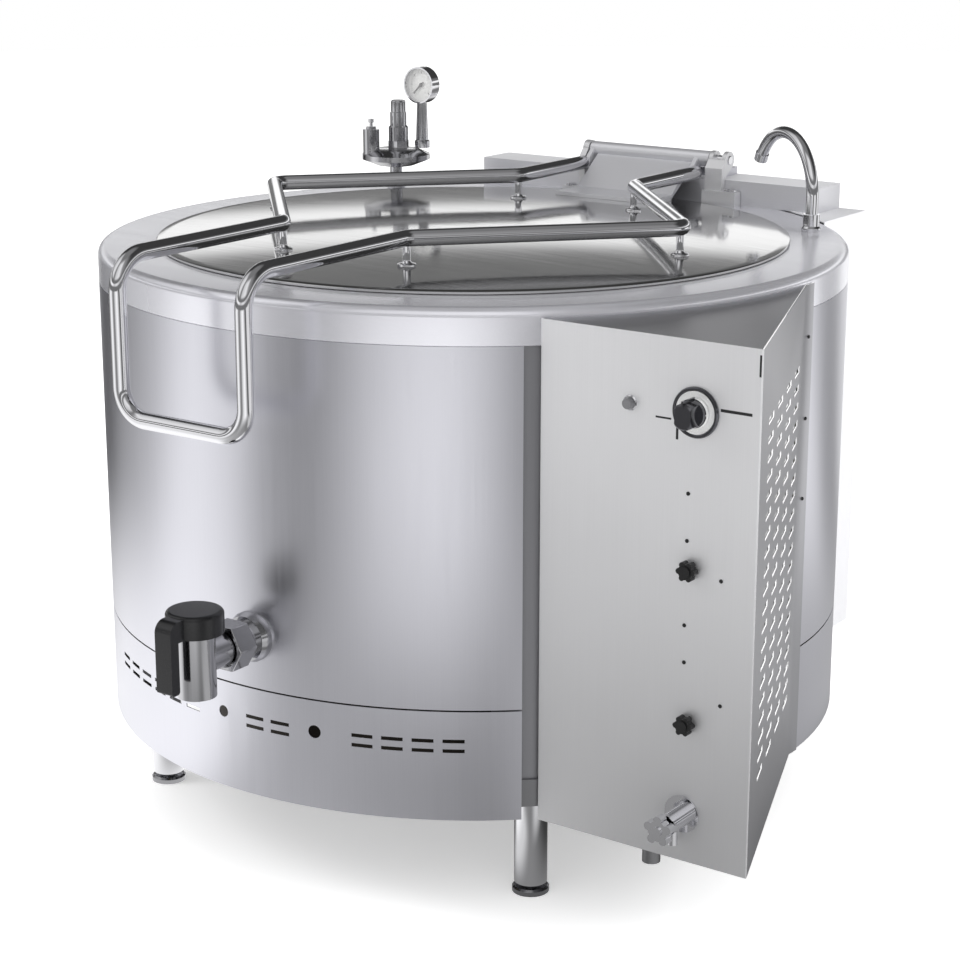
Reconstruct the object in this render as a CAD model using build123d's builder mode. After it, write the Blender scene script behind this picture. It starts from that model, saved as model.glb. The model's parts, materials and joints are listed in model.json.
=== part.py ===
from build123d import *
import os
from math import cos, sin, radians, sqrt

# Steam jacketed boiling kettle, gas heated, about 350 litres.
# Millimetres, +Z up. The origin is on the floor at the axis of the round vessel.
# The front, with the draw-off cock, faces -Y, the control box is at the front right,
# and the lid hinge and flue are at the rear.

os.makedirs("parts", exist_ok=True)

# ---------------------------------------------------------------- driving dimensions
SKIN_R = 600            # outer radius of the round casing
SKIN_T = 1.5            # casing sheet
SKIRT_Z = 150           # underside of the casing
DECK_Z = 907            # working height of the deck
SEAM_Z = 318            # seam between the lower skirt and the upper casing
SKIN_TOP = 852          # upper edge of the casing sheet
DECK_BAND_Z = 853.5     # lower edge of the band of the deck
BOX_OPEN_A = -47.8      # casing opening towards the control box, from this angle ...
BOX_OPEN_B = 0.0        # ... to this one, counted from +X

LEG_XY = 368            # leg axes in X and Y
LEG_R = 25
LEG_BOTTOM = 16
BASE_Z = 168            # underside of the base frame
FOOT_R = 28
STEM_R = 8.0

VESSEL_R = 488          # outer radius of the cooking vessel
VESSEL_T = 3
VESSEL_FLOOR = 352      # underside of the vessel at its centre
VESSEL_CROWN = 5634     # crown radius of the vessel floor
JACKET_R = 515          # outer radius of the steam jacket
JACKET_FLOOR = 330
JACKET_CROWN = 3701.7
JACKET_TOP = 700
LEVEL_ANGLE = -29.96    # direction of the jacket level pipes, from +X
DRAIN_ANGLE = -24.575   # direction of the jacket drain pipe, from +X

LID_R = 507
LID_TOP = 926
LID_T = 2
LID_CROWN = 9187
HINGE_Y = 535
HINGE_Z = 982
PIN_R = 8.0
RAIL_R = 12.5
RAIL_Z = 960
RAIL_X = 117

COCK_X = 28
COCK_Y = -718
COCK_Z = 400            # height of the draw-off pipe axis

PANEL_Y = -430          # face of the control panel
PANEL_LEFT = 421
PANEL_RIGHT = 766
BOX_TOP = 892
SHEET = 2

SWAN_X = 425
SWAN_Y = 352
SWAN_TURN = 147         # direction of the water spout at rest, from +X

SAFETY_X = -439
SAFETY_Y = 368
GAUGE_X = -407
GAUGE_Y = 406
GAUGE_Z = 1090


def on_circle(radius, angle, z):
    """Point at an angle from +X on a circle about the kettle axis."""
    return (radius * cos(radians(angle)), radius * sin(radians(angle)), z)


def radial_plane(radius, angle, z):
    """Plane that faces outwards from the kettle axis, with its local y upwards."""
    outward = (cos(radians(angle)), sin(radians(angle)), 0)
    along = (-sin(radians(angle)), cos(radians(angle)), 0)
    return Plane(origin=on_circle(radius, angle, z), x_dir=along, z_dir=outward)


def front_plane(x, y, z):
    """Plane that faces the front, with its local x to the right and its local y upwards."""
    return Plane(origin=(x, y, z), x_dir=(1, 0, 0), z_dir=(0, -1, 0))


def turned_plane(x, y, z):
    """Plane whose local x is a radius and whose local y is +Y, for pieces turned about Y."""
    return Plane(origin=(x, y, z), x_dir=(1, 0, 0), z_dir=(0, 0, 1))


def crown(radius, floor, crown_radius):
    """Height of a dished surface at a radius from the kettle axis."""
    return floor + crown_radius - sqrt(crown_radius ** 2 - radius ** 2)


# ---------------------------------------------------------------- legs and feet
with BuildPart() as leg_tubes:
    with BuildSketch(Plane.XY.offset(LEG_BOTTOM)):
        with GridLocations(2 * LEG_XY, 2 * LEG_XY, 2, 2):
            Circle(LEG_R)
            Circle(LEG_R - 2, mode=Mode.SUBTRACT)
    extrude(amount=BASE_Z - LEG_BOTTOM)
    with BuildSketch(Plane.XY.offset(LEG_BOTTOM + 8)):
        with GridLocations(2 * LEG_XY, 2 * LEG_XY, 2, 2):
            Circle(LEG_R - 2)
            Circle(STEM_R + 0.05, mode=Mode.SUBTRACT)
    extrude(amount=12)
leg_tubes.part.label = "leg_tubes"
export_step(leg_tubes.part, "parts/leg_tubes.step")

# Adjustable feet: each screws in the plug of its leg.
FOOT_PLACES = {
    "foot_front_left": (-LEG_XY, -LEG_XY),
    "foot_front_right": (LEG_XY, -LEG_XY),
    "foot_rear_left": (-LEG_XY, LEG_XY),
    "foot_rear_right": (LEG_XY, LEG_XY),
}
for foot_name, (foot_x, foot_y) in FOOT_PLACES.items():
    with BuildPart() as foot:
        with BuildSketch(Plane((foot_x, foot_y, 0))):
            Circle(FOOT_R)
        extrude(amount=10)
        chamfer(foot.faces().sort_by(Axis.Z)[-1].edges(), 3)
        with BuildSketch(Plane((foot_x, foot_y, 10))):
            RegularPolygon(13, 6, major_radius=False)
        extrude(amount=4)
        with BuildSketch(Plane((foot_x, foot_y, 10))):
            Circle(STEM_R)
        extrude(amount=50)
    foot.part.label = foot_name
    export_step(foot.part, f"parts/{foot_name}.step")

# ---------------------------------------------------------------- base frame
with BuildPart() as base_frame:
    with BuildSketch(Plane.XZ):
        with BuildLine():
            Polyline((558, 168), (596, 168), (596, 210), (592, 210), (592, 172), (558, 172), close=True)
        make_face()
    revolve(axis=Axis.Z)
    with BuildSketch(Plane.XY.offset(BASE_Z)):
        with GridLocations(2 * LEG_XY, 2 * LEG_XY, 2, 2):
            Rectangle(104, 104)
    extrude(amount=6)
    with BuildSketch(Plane.XY.offset(BASE_Z)):
        Rectangle(1130, 40)
        Rectangle(40, 1130)
    extrude(amount=4)
    with BuildSketch(Plane.XY.offset(BASE_Z + 5)):
        with PolarLocations(536, 4, start_angle=45):
            Rectangle(40, 40)
            Rectangle(34, 34, mode=Mode.SUBTRACT)
    extrude(amount=470 - BASE_Z - 5)
    with BuildSketch(Plane((SWAN_X, SWAN_Y, BASE_Z - 1))):
        Circle(12)
    extrude(amount=10, mode=Mode.SUBTRACT)
base_frame.part.label = "base_frame"
export_step(base_frame.part, "parts/base_frame.step")

# ---------------------------------------------------------------- cooking vessel and jacket
with BuildPart() as inner_vessel:
    with BuildSketch(Plane.XZ) as vessel_profile:
        inner_r = VESSEL_R - VESSEL_T
        outer_edge = crown(VESSEL_R, VESSEL_FLOOR, VESSEL_CROWN)
        inner_edge = crown(inner_r, VESSEL_FLOOR + VESSEL_T, VESSEL_CROWN - VESSEL_T)
        outer_mid = crown(VESSEL_R / 2, VESSEL_FLOOR, VESSEL_CROWN)
        inner_mid = crown(inner_r / 2, VESSEL_FLOOR + VESSEL_T, VESSEL_CROWN - VESSEL_T)
        with BuildLine():
            ThreePointArc((0, VESSEL_FLOOR), (VESSEL_R / 2, outer_mid), (VESSEL_R, outer_edge))
            Polyline((VESSEL_R, outer_edge), (VESSEL_R, 904), (499.7, 904), (499.7, 907), (inner_r, 907), (inner_r, inner_edge))
            ThreePointArc((inner_r, inner_edge), (inner_r / 2, inner_mid), (0, VESSEL_FLOOR + VESSEL_T))
            Line((0, VESSEL_FLOOR + VESSEL_T), (0, VESSEL_FLOOR))
        make_face()
        corners = vessel_profile.vertices().filter_by_position(Axis.X, 480, 490).filter_by_position(Axis.Y, 368, 382)
        fillet(corners.sort_by(Axis.X)[-1], 42)
        corners = vessel_profile.vertices().filter_by_position(Axis.X, 484, 486).filter_by_position(Axis.Y, 368, 382)
        fillet(corners, 39)
    revolve(axis=Axis.Z)
    with BuildSketch(front_plane(COCK_X, -464, COCK_Z)):
        Circle(28)
    extrude(amount=60, mode=Mode.SUBTRACT)
inner_vessel.part.label = "inner_vessel"
export_step(inner_vessel.part, "parts/inner_vessel.step")

with BuildPart() as steam_jacket:
    with BuildSketch(Plane.XZ):
        jacket_inner = JACKET_R - 3
        outer_edge = crown(JACKET_R, JACKET_FLOOR, JACKET_CROWN)
        inner_edge = crown(jacket_inner, JACKET_FLOOR + 3, JACKET_CROWN - 3)
        outer_mid = crown(JACKET_R / 2, JACKET_FLOOR, JACKET_CROWN)
        inner_mid = crown(jacket_inner / 2, JACKET_FLOOR + 3, JACKET_CROWN - 3)
        with BuildLine():
            ThreePointArc((0, JACKET_FLOOR), (JACKET_R / 2, outer_mid), (JACKET_R, outer_edge))
            Polyline(
                (JACKET_R, outer_edge),
                (JACKET_R, JACKET_TOP),
                (VESSEL_R, JACKET_TOP),
                (VESSEL_R, JACKET_TOP - 3),
                (jacket_inner, JACKET_TOP - 3),
                (jacket_inner, inner_edge),
            )
            ThreePointArc((jacket_inner, inner_edge), (jacket_inner / 2, inner_mid), (0, JACKET_FLOOR + 3))
            Line((0, JACKET_FLOOR + 3), (0, JACKET_FLOOR))
        make_face()
    revolve(axis=Axis.Z)
    # Lugs that stand on the struts of the base frame.
    with BuildSketch(Plane.XY.offset(470)):
        with PolarLocations(535, 4, start_angle=45):
            Rectangle(42, 44)
    extrude(amount=6)
    with BuildSketch(front_plane(COCK_X, -500, COCK_Z)):
        Circle(28)
    extrude(amount=30, mode=Mode.SUBTRACT)
    with BuildSketch(radial_plane(505, LEVEL_ANGLE, 610), radial_plane(505, LEVEL_ANGLE, 440)):
        Circle(6)
    extrude(amount=20, mode=Mode.SUBTRACT)
    with BuildSketch(radial_plane(505, DRAIN_ANGLE, 430)):
        Circle(9)
    extrude(amount=20, mode=Mode.SUBTRACT)
    # The lug pads are trimmed so that they end at the inner face of the wall.
    with BuildSketch(Plane.XY.offset(465)):
        Circle(jacket_inner)
        Circle(VESSEL_R + 4, mode=Mode.SUBTRACT)
    extrude(amount=20, mode=Mode.SUBTRACT)
steam_jacket.part.label = "steam_jacket"
export_step(steam_jacket.part, "parts/steam_jacket.step")

with BuildPart() as insulation:
    with BuildSketch(Plane.XY.offset(480)):
        Circle(590)
        Circle(518, mode=Mode.SUBTRACT)
        with Locations((0, 555)):
            Rectangle(186, 100, mode=Mode.SUBTRACT)
        with Locations((SWAN_X, SWAN_Y)):
            Circle(13, mode=Mode.SUBTRACT)
    extrude(amount=370)
    with BuildSketch(radial_plane(510, LEVEL_ANGLE, 610)):
        Circle(7)
    extrude(amount=90, mode=Mode.SUBTRACT)
insulation.part.label = "insulation"
export_step(insulation.part, "parts/insulation.step")

# ---------------------------------------------------------------- combustion chamber, burner and flue
CHAMBER_TOP = 359.5
SUPPLY_ANGLE = -28      # direction of the gas supply pipe, from +X
BURNER_Z = 275

with BuildPart() as chamber_wall:
    with BuildSketch(Plane.XY.offset(BASE_Z + 6)):
        Circle(470)
        Circle(468, mode=Mode.SUBTRACT)
    extrude(amount=CHAMBER_TOP - BASE_Z - 6)
    with BuildSketch(front_plane(0, 500, 318)):
        Rectangle(176, 56)
    extrude(amount=60, mode=Mode.SUBTRACT)
    with BuildSketch(radial_plane(455, SUPPLY_ANGLE, BURNER_Z)):
        Circle(11.5)
    extrude(amount=30, mode=Mode.SUBTRACT)
chamber_wall.part.label = "chamber_wall"
export_step(chamber_wall.part, "parts/chamber_wall.step")

with BuildPart() as burner:
    with BuildSketch(Plane.XZ):
        with Locations((330, BURNER_Z), (180, BURNER_Z)):
            RectangleRounded(28, 24, 8)
    revolve(axis=Axis.Z)
    with BuildSketch(*[radial_plane(184, angle, BURNER_Z) for angle in (0, 90, 180, 270)]):
        Circle(8)
    extrude(amount=140)
    with BuildSketch(Plane.XY.offset(172)):
        with PolarLocations(330, 4):
            Circle(7)
    extrude(amount=BURNER_Z - 172 - 6)
    # Supply pipe from the outer ring to the gas valve.
    with BuildLine() as supply_path:
        FilletPolyline(on_circle(338, SUPPLY_ANGLE, BURNER_Z), (715, -380, BURNER_Z), (715, -380, 765), radius=40)
    with BuildSketch(Plane(origin=supply_path.line @ 0, z_dir=supply_path.line % 0)):
        Circle(11)
        Circle(8.5, mode=Mode.SUBTRACT)
    sweep(path=supply_path.line)
burner.part.label = "burner"
export_step(burner.part, "parts/burner.step")

with BuildPart() as flue_duct:
    with BuildSketch(Plane.YZ.offset(-90)):
        with BuildLine():
            Polyline((440, 288.5), (583, 288.5), (583, 930), (528, 930), (528, 347.5), (440, 347.5), close=True)
        make_face()
    extrude(amount=180)
    with BuildSketch(Plane.YZ.offset(-88.5)):
        with BuildLine():
            Polyline((439, 290), (581.5, 290), (581.5, 931), (529.5, 931), (529.5, 346), (439, 346), close=True)
        make_face()
    extrude(amount=177, mode=Mode.SUBTRACT)
    with BuildSketch(Plane.XY.offset(280)):
        Circle(470)
    extrude(amount=75, mode=Mode.SUBTRACT)
flue_duct.part.label = "flue_duct"
export_step(flue_duct.part, "parts/flue_duct.step")

FLUE_BOX_TOP = 950
with BuildPart() as flue_box:
    with BuildSketch(Plane.XY.offset(DECK_Z)):
        with Locations((0, 562)):
            Rectangle(700, 84)
    extrude(amount=FLUE_BOX_TOP - DECK_Z)
    fillet(flue_box.edges().filter_by(Axis.Z), 4)
    with BuildSketch(Plane.XY.offset(DECK_Z)):
        with Locations((0, 562)):
            RectangleRounded(697, 81, 2.5)
    extrude(amount=FLUE_BOX_TOP - DECK_Z - 1.5, mode=Mode.SUBTRACT)
    with BuildSketch(Plane.XY.offset(FLUE_BOX_TOP - 3)):
        with Locations((0, 573.5)):
            Rectangle(280, 33)
    extrude(amount=5, mode=Mode.SUBTRACT)
flue_box.part.label = "flue_box"
export_step(flue_box.part, "parts/flue_box.step")

with BuildPart() as flue_grille:
    with BuildSketch(Plane.XY.offset(FLUE_BOX_TOP)):
        with Locations((0, 573.5)):
            Rectangle(300, 43)
    extrude(amount=14)
    with BuildSketch(Plane.XY.offset(FLUE_BOX_TOP)):
        with Locations((0, 573.5)):
            Rectangle(296, 39)
    extrude(amount=12, mode=Mode.SUBTRACT)
    with BuildSketch(Plane.XY.offset(FLUE_BOX_TOP + 11)):
        with Locations((0, 573.5)):
            with GridLocations(20, 0, 14, 1):
                Rectangle(12, 33)
    extrude(amount=4, mode=Mode.SUBTRACT)
flue_grille.part.label = "flue_grille"
export_step(flue_grille.part, "parts/flue_grille.step")

# ---------------------------------------------------------------- casing
CASING_SPAN = 360 - (BOX_OPEN_B - BOX_OPEN_A)

with BuildPart() as upper_skin:
    with BuildSketch(Plane.XZ):
        with Locations((SKIN_R - SKIN_T / 2, (SEAM_Z + 2 + SKIN_TOP) / 2)):
            Rectangle(SKIN_T, SKIN_TOP - SEAM_Z - 2)
    revolve(axis=Axis.Z, revolution_arc=CASING_SPAN)
    with BuildSketch(front_plane(COCK_X, -560, COCK_Z)):
        Circle(28.3)
    extrude(amount=60, mode=Mode.SUBTRACT)
upper_skin.part.label = "upper_skin"
export_step(upper_skin.part, "parts/upper_skin.step")

# Air slots of the lower skirt, as angles from +X, in two rows, and two round inspection holes.
SLOT_ANGLES = (-121.1, -116.7, -112.4, -108.1, -103.8, -99.5, -87.1, -82.8, -70.1, -65.8, -61.5, -57.2)
with BuildPart() as lower_skirt:
    with BuildSketch(Plane.XZ):
        with BuildLine():
            Polyline((588, 150), (600, 150), (600, 318), (598.5, 318), (598.5, 152), (588, 152), close=True)
        make_face()
    revolve(axis=Axis.Z, revolution_arc=CASING_SPAN)
    with BuildSketch(*[radial_plane(590, angle, 273) for angle in SLOT_ANGLES]):
        Rectangle(32, 5.5)
    extrude(amount=15, mode=Mode.SUBTRACT)
    with BuildSketch(*[radial_plane(590, angle, 258) for angle in SLOT_ANGLES]):
        Rectangle(32, 5.5)
    extrude(amount=15, mode=Mode.SUBTRACT)
    with BuildSketch(radial_plane(590, -92.9, 270)):
        Circle(9)
    extrude(amount=15, mode=Mode.SUBTRACT)
    with BuildSketch(radial_plane(590, -77.2, 270)):
        Circle(10)
    extrude(amount=15, mode=Mode.SUBTRACT)
lower_skirt.part.label = "lower_skirt"
export_step(lower_skirt.part, "parts/lower_skirt.step")

# Inner sheet that closes the casing behind the control box.
LINER_ARC = 52          # from +X towards the front
with BuildPart() as body_liner:
    with BuildSketch(Plane.XZ):
        with Locations((591, 532)):
            Rectangle(2, 716)
    revolve(axis=Axis.Z, revolution_arc=-LINER_ARC)
    with BuildSketch(radial_plane(580, LEVEL_ANGLE, 610), radial_plane(580, LEVEL_ANGLE, 440)):
        Circle(6.5)
    extrude(amount=20, mode=Mode.SUBTRACT)
    with BuildSketch(radial_plane(580, DRAIN_ANGLE, 430)):
        Circle(9.5)
    extrude(amount=20, mode=Mode.SUBTRACT)
    with BuildSketch(radial_plane(580, SUPPLY_ANGLE, BURNER_Z)):
        Circle(11.5)
    extrude(amount=20, mode=Mode.SUBTRACT)
body_liner.part.label = "body_liner"
export_step(body_liner.part, "parts/body_liner.step")

# Deck: flat ring, rolled edge and a band that laps over the casing.
with BuildPart() as deck_ring:
    with BuildSketch(Plane.XZ):
        with BuildLine():
            Line((500, 907), (586, 907))
            RadiusArc((586, 907), (600, 893), 14)
            Polyline((600, 893), (600, DECK_BAND_Z), (597.5, DECK_BAND_Z), (597.5, 893))
            RadiusArc((597.5, 893), (586, 904.5), -11.5)
            Polyline((586, 904.5), (500, 904.5), (500, 907))
        make_face()
    revolve(axis=Axis.Z)
    with BuildSketch(Plane.XY.offset(880)):
        with Locations((0, 555.5)):
            Rectangle(180, 55)
        with Locations((SWAN_X, SWAN_Y)):
            Circle(12)
        with Locations((SAFETY_X, SAFETY_Y)):
            Circle(9)
    extrude(amount=40, mode=Mode.SUBTRACT)
deck_ring.part.label = "deck_ring"
export_step(deck_ring.part, "parts/deck_ring.step")

with BuildPart() as rear_housing:
    with BuildSketch(Plane.XY.offset(165)):
        with Locations((0, 526.75)):
            Rectangle(800, 154.5)
    extrude(amount=DECK_Z - 165)
    fillet(rear_housing.edges().filter_by(Axis.Z).group_by(Axis.Y)[-1], 6)
    with BuildSketch(Plane.XY.offset(165)):
        with BuildLine():
            Polyline((-398.5, 440), (398.5, 440), (398.5, 602.5), (-398.5, 602.5), close=True)
        make_face()
    extrude(amount=DECK_Z - 165 - 2, mode=Mode.SUBTRACT)
    with BuildSketch(Plane.XY.offset(160)):
        Circle(SKIN_R + 0.2)
    extrude(amount=760, mode=Mode.SUBTRACT)
rear_housing.part.label = "rear_housing"
export_step(rear_housing.part, "parts/rear_housing.step")

# ---------------------------------------------------------------- control box
GAS_KNOB = (669, 795)
IGNITER = (567, 794)
LEVEL_UPPER = (667, 577)
LEVEL_LOWER = (668, 356)
DRAIN_TAP = (656, 212)

with BuildPart() as front_panel:
    with BuildSketch(Plane.XY.offset(SKIRT_Z)):
        with BuildLine():
            Polyline(
                (PANEL_LEFT, PANEL_Y + 5),
                (PANEL_LEFT, PANEL_Y),
                (PANEL_RIGHT, PANEL_Y),
                (PANEL_RIGHT, PANEL_Y + SHEET),
                (PANEL_LEFT + SHEET, PANEL_Y + SHEET),
                (PANEL_LEFT + SHEET, PANEL_Y + 5),
                close=True,
            )
        make_face()
    extrude(amount=BOX_TOP - SKIRT_Z)
    fillet(front_panel.edges().filter_by(Axis.Z).group_by(Axis.Y)[0], 1.8)
    # The left hem is notched where the band of the deck passes it.
    with BuildSketch(Plane.XY.offset(DECK_BAND_Z - 1)):
        Circle(SKIN_R + 0.3)
    extrude(amount=BOX_TOP - DECK_BAND_Z + 2, mode=Mode.SUBTRACT)
    with BuildSketch(front_plane(0, PANEL_Y + 5, 0)):
        with Locations(GAS_KNOB):
            Circle(8)
        with Locations(IGNITER):
            Circle(9)
        with Locations(LEVEL_UPPER, LEVEL_LOWER):
            Circle(6)
        with Locations(DRAIN_TAP):
            Circle(15)
    extrude(amount=10, mode=Mode.SUBTRACT)
front_panel.part.label = "front_panel"
export_step(front_panel.part, "parts/front_panel.step")

# The side sheet runs from the front corner of the box back to the casing.
SIDE_START = Vector(PANEL_RIGHT, PANEL_Y + SHEET, 0)
SIDE_END = Vector(602.8, 0, 0)
SIDE_ALONG = (SIDE_END - SIDE_START).normalized()
SIDE_OUT = SIDE_ALONG.cross(Vector(0, 0, 1))
SIDE_LENGTH = (SIDE_END - SIDE_START).length
side_plane = Plane(origin=SIDE_START, x_dir=SIDE_ALONG, z_dir=SIDE_OUT)
SLOT_W = 50
SLOT_H = 9
SLOT_PITCH_X = 92.67
SLOT_PITCH_Z = 26.9

with BuildPart() as side_panel:
    with BuildSketch(side_plane):
        with Locations(((1 + SIDE_LENGTH) / 2, (SKIRT_Z + BOX_TOP) / 2)):
            Rectangle(SIDE_LENGTH - 1, BOX_TOP - SKIRT_Z)
    extrude(amount=-SHEET)
    with BuildSketch(side_plane.offset(3)):
        with Locations((240, 521.5)):
            with GridLocations(SLOT_PITCH_X, SLOT_PITCH_Z, 4, 20):
                Rectangle(SLOT_W, SLOT_H)
    extrude(amount=-8, mode=Mode.SUBTRACT)
    # Flange that is screwed to the casing.
    with BuildSketch(Plane.XY.offset(SKIRT_Z)):
        with Locations((601.8, 12.35)):
            Rectangle(2, 25.3)
    extrude(amount=BOX_TOP - SKIRT_Z)
side_panel.part.label = "side_panel"
export_step(side_panel.part, "parts/side_panel.step")

# Base plate, top plate and the baffle behind the slots, folded from one sheet.
BAFFLE_DEPTH = 3.5      # from the face of the side sheet to the face of the baffle
with BuildPart() as box_chassis:
    front_inner = PANEL_Y + SHEET
    side_a = SIDE_START - SIDE_OUT * SHEET + SIDE_ALONG * (SHEET * SIDE_OUT.Y / SIDE_ALONG.Y)
    side_b = SIDE_END - SIDE_OUT * SHEET
    with BuildSketch(Plane.XY.offset(SKIRT_Z), Plane.XY.offset(BOX_TOP - SHEET)):
        with BuildLine():
            Polyline((428, front_inner), (side_a.X, front_inner), (side_b.X, side_b.Y), (560, 0), close=True)
        make_face()
    extrude(amount=SHEET)
    with BuildSketch(side_plane.offset(-BAFFLE_DEPTH)):
        with Locations(((40 + SIDE_LENGTH - 60) / 2, (SKIRT_Z + BOX_TOP) / 2)):
            Rectangle(SIDE_LENGTH - 100, BOX_TOP - SKIRT_Z - 2)
    extrude(amount=-1.5)
    with BuildSketch(Plane.XY.offset(140)):
        Circle(SKIN_R + 0.2)
        with Locations((585, -380)):
            Circle(14)
    extrude(amount=20, mode=Mode.SUBTRACT)
    with BuildSketch(Plane.XY.offset(140)):
        Circle(SKIN_R + 0.2)
    extrude(amount=780, mode=Mode.SUBTRACT)
box_chassis.part.label = "box_chassis"
export_step(box_chassis.part, "parts/box_chassis.step")

# Domed screw heads on the panel and on the flange of the side sheet, and one on the casing.
PANEL_DOTS = ((660, 682), (660, 616), (714, 569), (659, 496), (660, 443), (718, 392))
with BuildPart() as panel_screws:
    with BuildSketch(front_plane(0, PANEL_Y, 0)):
        with Locations(*PANEL_DOTS):
            Circle(2.8)
    extrude(amount=1.6)
    with BuildSketch(Plane(origin=(602.8, 12, 0), x_dir=(0, 1, 0), z_dir=(1, 0, 0))):
        with Locations((0, 812), (0, 687), (0, 562)):
            Circle(2.8)
    extrude(amount=1.6)
    chamfer(panel_screws.edges().filter_by(GeomType.CIRCLE).filter_by_position(Axis.Y, -432, -431), 0.8)
    chamfer(panel_screws.edges().filter_by(GeomType.CIRCLE).filter_by_position(Axis.X, 604, 605), 0.8)
panel_screws.part.label = "panel_screws"
export_step(panel_screws.part, "parts/panel_screws.step")

# ---------------------------------------------------------------- gas control
with BuildPart() as gas_valve:
    with BuildSketch(Plane.XY.offset(765)):
        with Locations((676, -380)):
            RectangleRounded(102, 50, 6)
    extrude(amount=55)
    with BuildSketch(front_plane(GAS_KNOB[0], -400, GAS_KNOB[1])):
        Circle(12)
    extrude(amount=22)
    with BuildSketch(front_plane(GAS_KNOB[0], -395, GAS_KNOB[1])):
        Circle(4.05)
    extrude(amount=30, mode=Mode.SUBTRACT)
gas_valve.part.label = "gas_valve"
export_step(gas_valve.part, "parts/gas_valve.step")

with BuildPart() as gas_inlet_pipe:
    with BuildLine() as inlet_path:
        FilletPolyline((585, -380, 130), (585, -380, 792), (625, -380, 792), radius=30)
    with BuildSketch(Plane((585, -380, 130))):
        Circle(13.45)
        Circle(10.6, mode=Mode.SUBTRACT)
    sweep(path=inlet_path.line)
    # Threaded end, drawn at the major diameter of its thread.
    with BuildSketch(Plane((585, -380, 110))):
        Circle(13.22)
        Circle(10.6, mode=Mode.SUBTRACT)
    extrude(amount=20)
gas_inlet_pipe.part.label = "gas_inlet_pipe"
export_step(gas_inlet_pipe.part, "parts/gas_inlet_pipe.step")

with BuildPart() as gas_bezel:
    with BuildSketch(turned_plane(GAS_KNOB[0], PANEL_Y, GAS_KNOB[1])):
        with BuildLine():
            Polyline((9, 0), (35, 0), (35, -2.5), (33.5, -5), (31, -5), (28, -2), (9, -2), close=True)
        make_face()
    revolve(axis=Axis((GAS_KNOB[0], PANEL_Y, GAS_KNOB[1]), (0, 1, 0)))
gas_bezel.part.label = "gas_bezel"
export_step(gas_bezel.part, "parts/gas_bezel.step")

with BuildPart() as gas_knob:
    with BuildSketch(turned_plane(GAS_KNOB[0], PANEL_Y, GAS_KNOB[1])):
        with BuildLine():
            Polyline((0, 28), (4, 28), (4, -3.5), (21, -3.5), (21, -7), (19, -9), (18, -34), (15.5, -36.5), (0, -36.5), close=True)
        make_face()
    revolve(axis=Axis((GAS_KNOB[0], PANEL_Y, GAS_KNOB[1]), (0, 1, 0)))
    # Two flats leave a finger grip across the hub, with a pointer rib on top.
    with BuildSketch(front_plane(GAS_KNOB[0], PANEL_Y - 14, GAS_KNOB[1])):
        with Locations((19, 0), (-19, 0)):
            Rectangle(14, 50)
    extrude(amount=30, mode=Mode.SUBTRACT)
    with BuildSketch(front_plane(GAS_KNOB[0], PANEL_Y - 6, GAS_KNOB[1])):
        with Locations((0, 17)):
            Rectangle(3, 10)
    extrude(amount=31.3)
gas_knob.part.label = "gas_knob"
export_step(gas_knob.part, "parts/gas_knob.step")

with BuildPart() as igniter_body:
    with BuildSketch(turned_plane(IGNITER[0], PANEL_Y, IGNITER[1])):
        with BuildLine():
            Polyline((0, 31), (9, 31), (9, 0), (11, 0), (11, -1.5), (9.5, -3), (7.55, -3), (7.55, 25), (0, 25), close=True)
        make_face()
    revolve(axis=Axis((IGNITER[0], PANEL_Y, IGNITER[1]), (0, 1, 0)))
igniter_body.part.label = "igniter_body"
export_step(igniter_body.part, "parts/igniter_body.step")

with BuildPart() as igniter_button:
    with BuildSketch(front_plane(IGNITER[0], PANEL_Y + 18, IGNITER[1])):
        Circle(7.5)
    extrude(amount=29)
    fillet(igniter_button.faces().sort_by(Axis.Y)[0].edges(), 2)
igniter_button.part.label = "igniter_button"
export_step(igniter_button.part, "parts/igniter_button.step")

# ---------------------------------------------------------------- jacket water level cocks
with BuildPart() as level_column:
    with BuildSketch(Plane((668, -385, 340))):
        Circle(8)
    extrude(amount=280)
    with BuildSketch(front_plane(LEVEL_UPPER[0], -371, LEVEL_UPPER[1]), front_plane(LEVEL_LOWER[0], -371, LEVEL_LOWER[1])):
        Circle(12)
    extrude(amount=31)
    with BuildSketch(radial_plane(510, LEVEL_ANGLE, 610), radial_plane(510, LEVEL_ANGLE, 440)):
        Circle(6)
    extrude(amount=258)
    with BuildSketch(front_plane(LEVEL_UPPER[0], -388, LEVEL_UPPER[1]), front_plane(LEVEL_LOWER[0], -388, LEVEL_LOWER[1])):
        Circle(4.05)
    extrude(amount=20, mode=Mode.SUBTRACT)
level_column.part.label = "level_column"
export_step(level_column.part, "parts/level_column.step")

LEVEL_KNOBS = {"level_knob_upper": LEVEL_UPPER, "level_knob_lower": LEVEL_LOWER}
for knob_name, (knob_x, knob_z) in LEVEL_KNOBS.items():
    with BuildPart() as level_knob:
        with BuildSketch(front_plane(knob_x, PANEL_Y - 4, knob_z)):
            Circle(11)
            with PolarLocations(10.5, 6):
                Circle(4)
        extrude(amount=12)
        with BuildSketch(front_plane(knob_x, PANEL_Y - 16, knob_z)):
            Circle(8)
        extrude(amount=2)
        with BuildSketch(front_plane(knob_x, PANEL_Y + 40, knob_z)):
            Circle(4)
        extrude(amount=44)
        with BuildSketch(front_plane(knob_x, PANEL_Y - 1, knob_z)):
            Circle(8)
        extrude(amount=3)
    level_knob.part.label = knob_name
    export_step(level_knob.part, f"parts/{knob_name}.step")

# ---------------------------------------------------------------- jacket drain
TAP_HANDLE = (653, 209)

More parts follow.
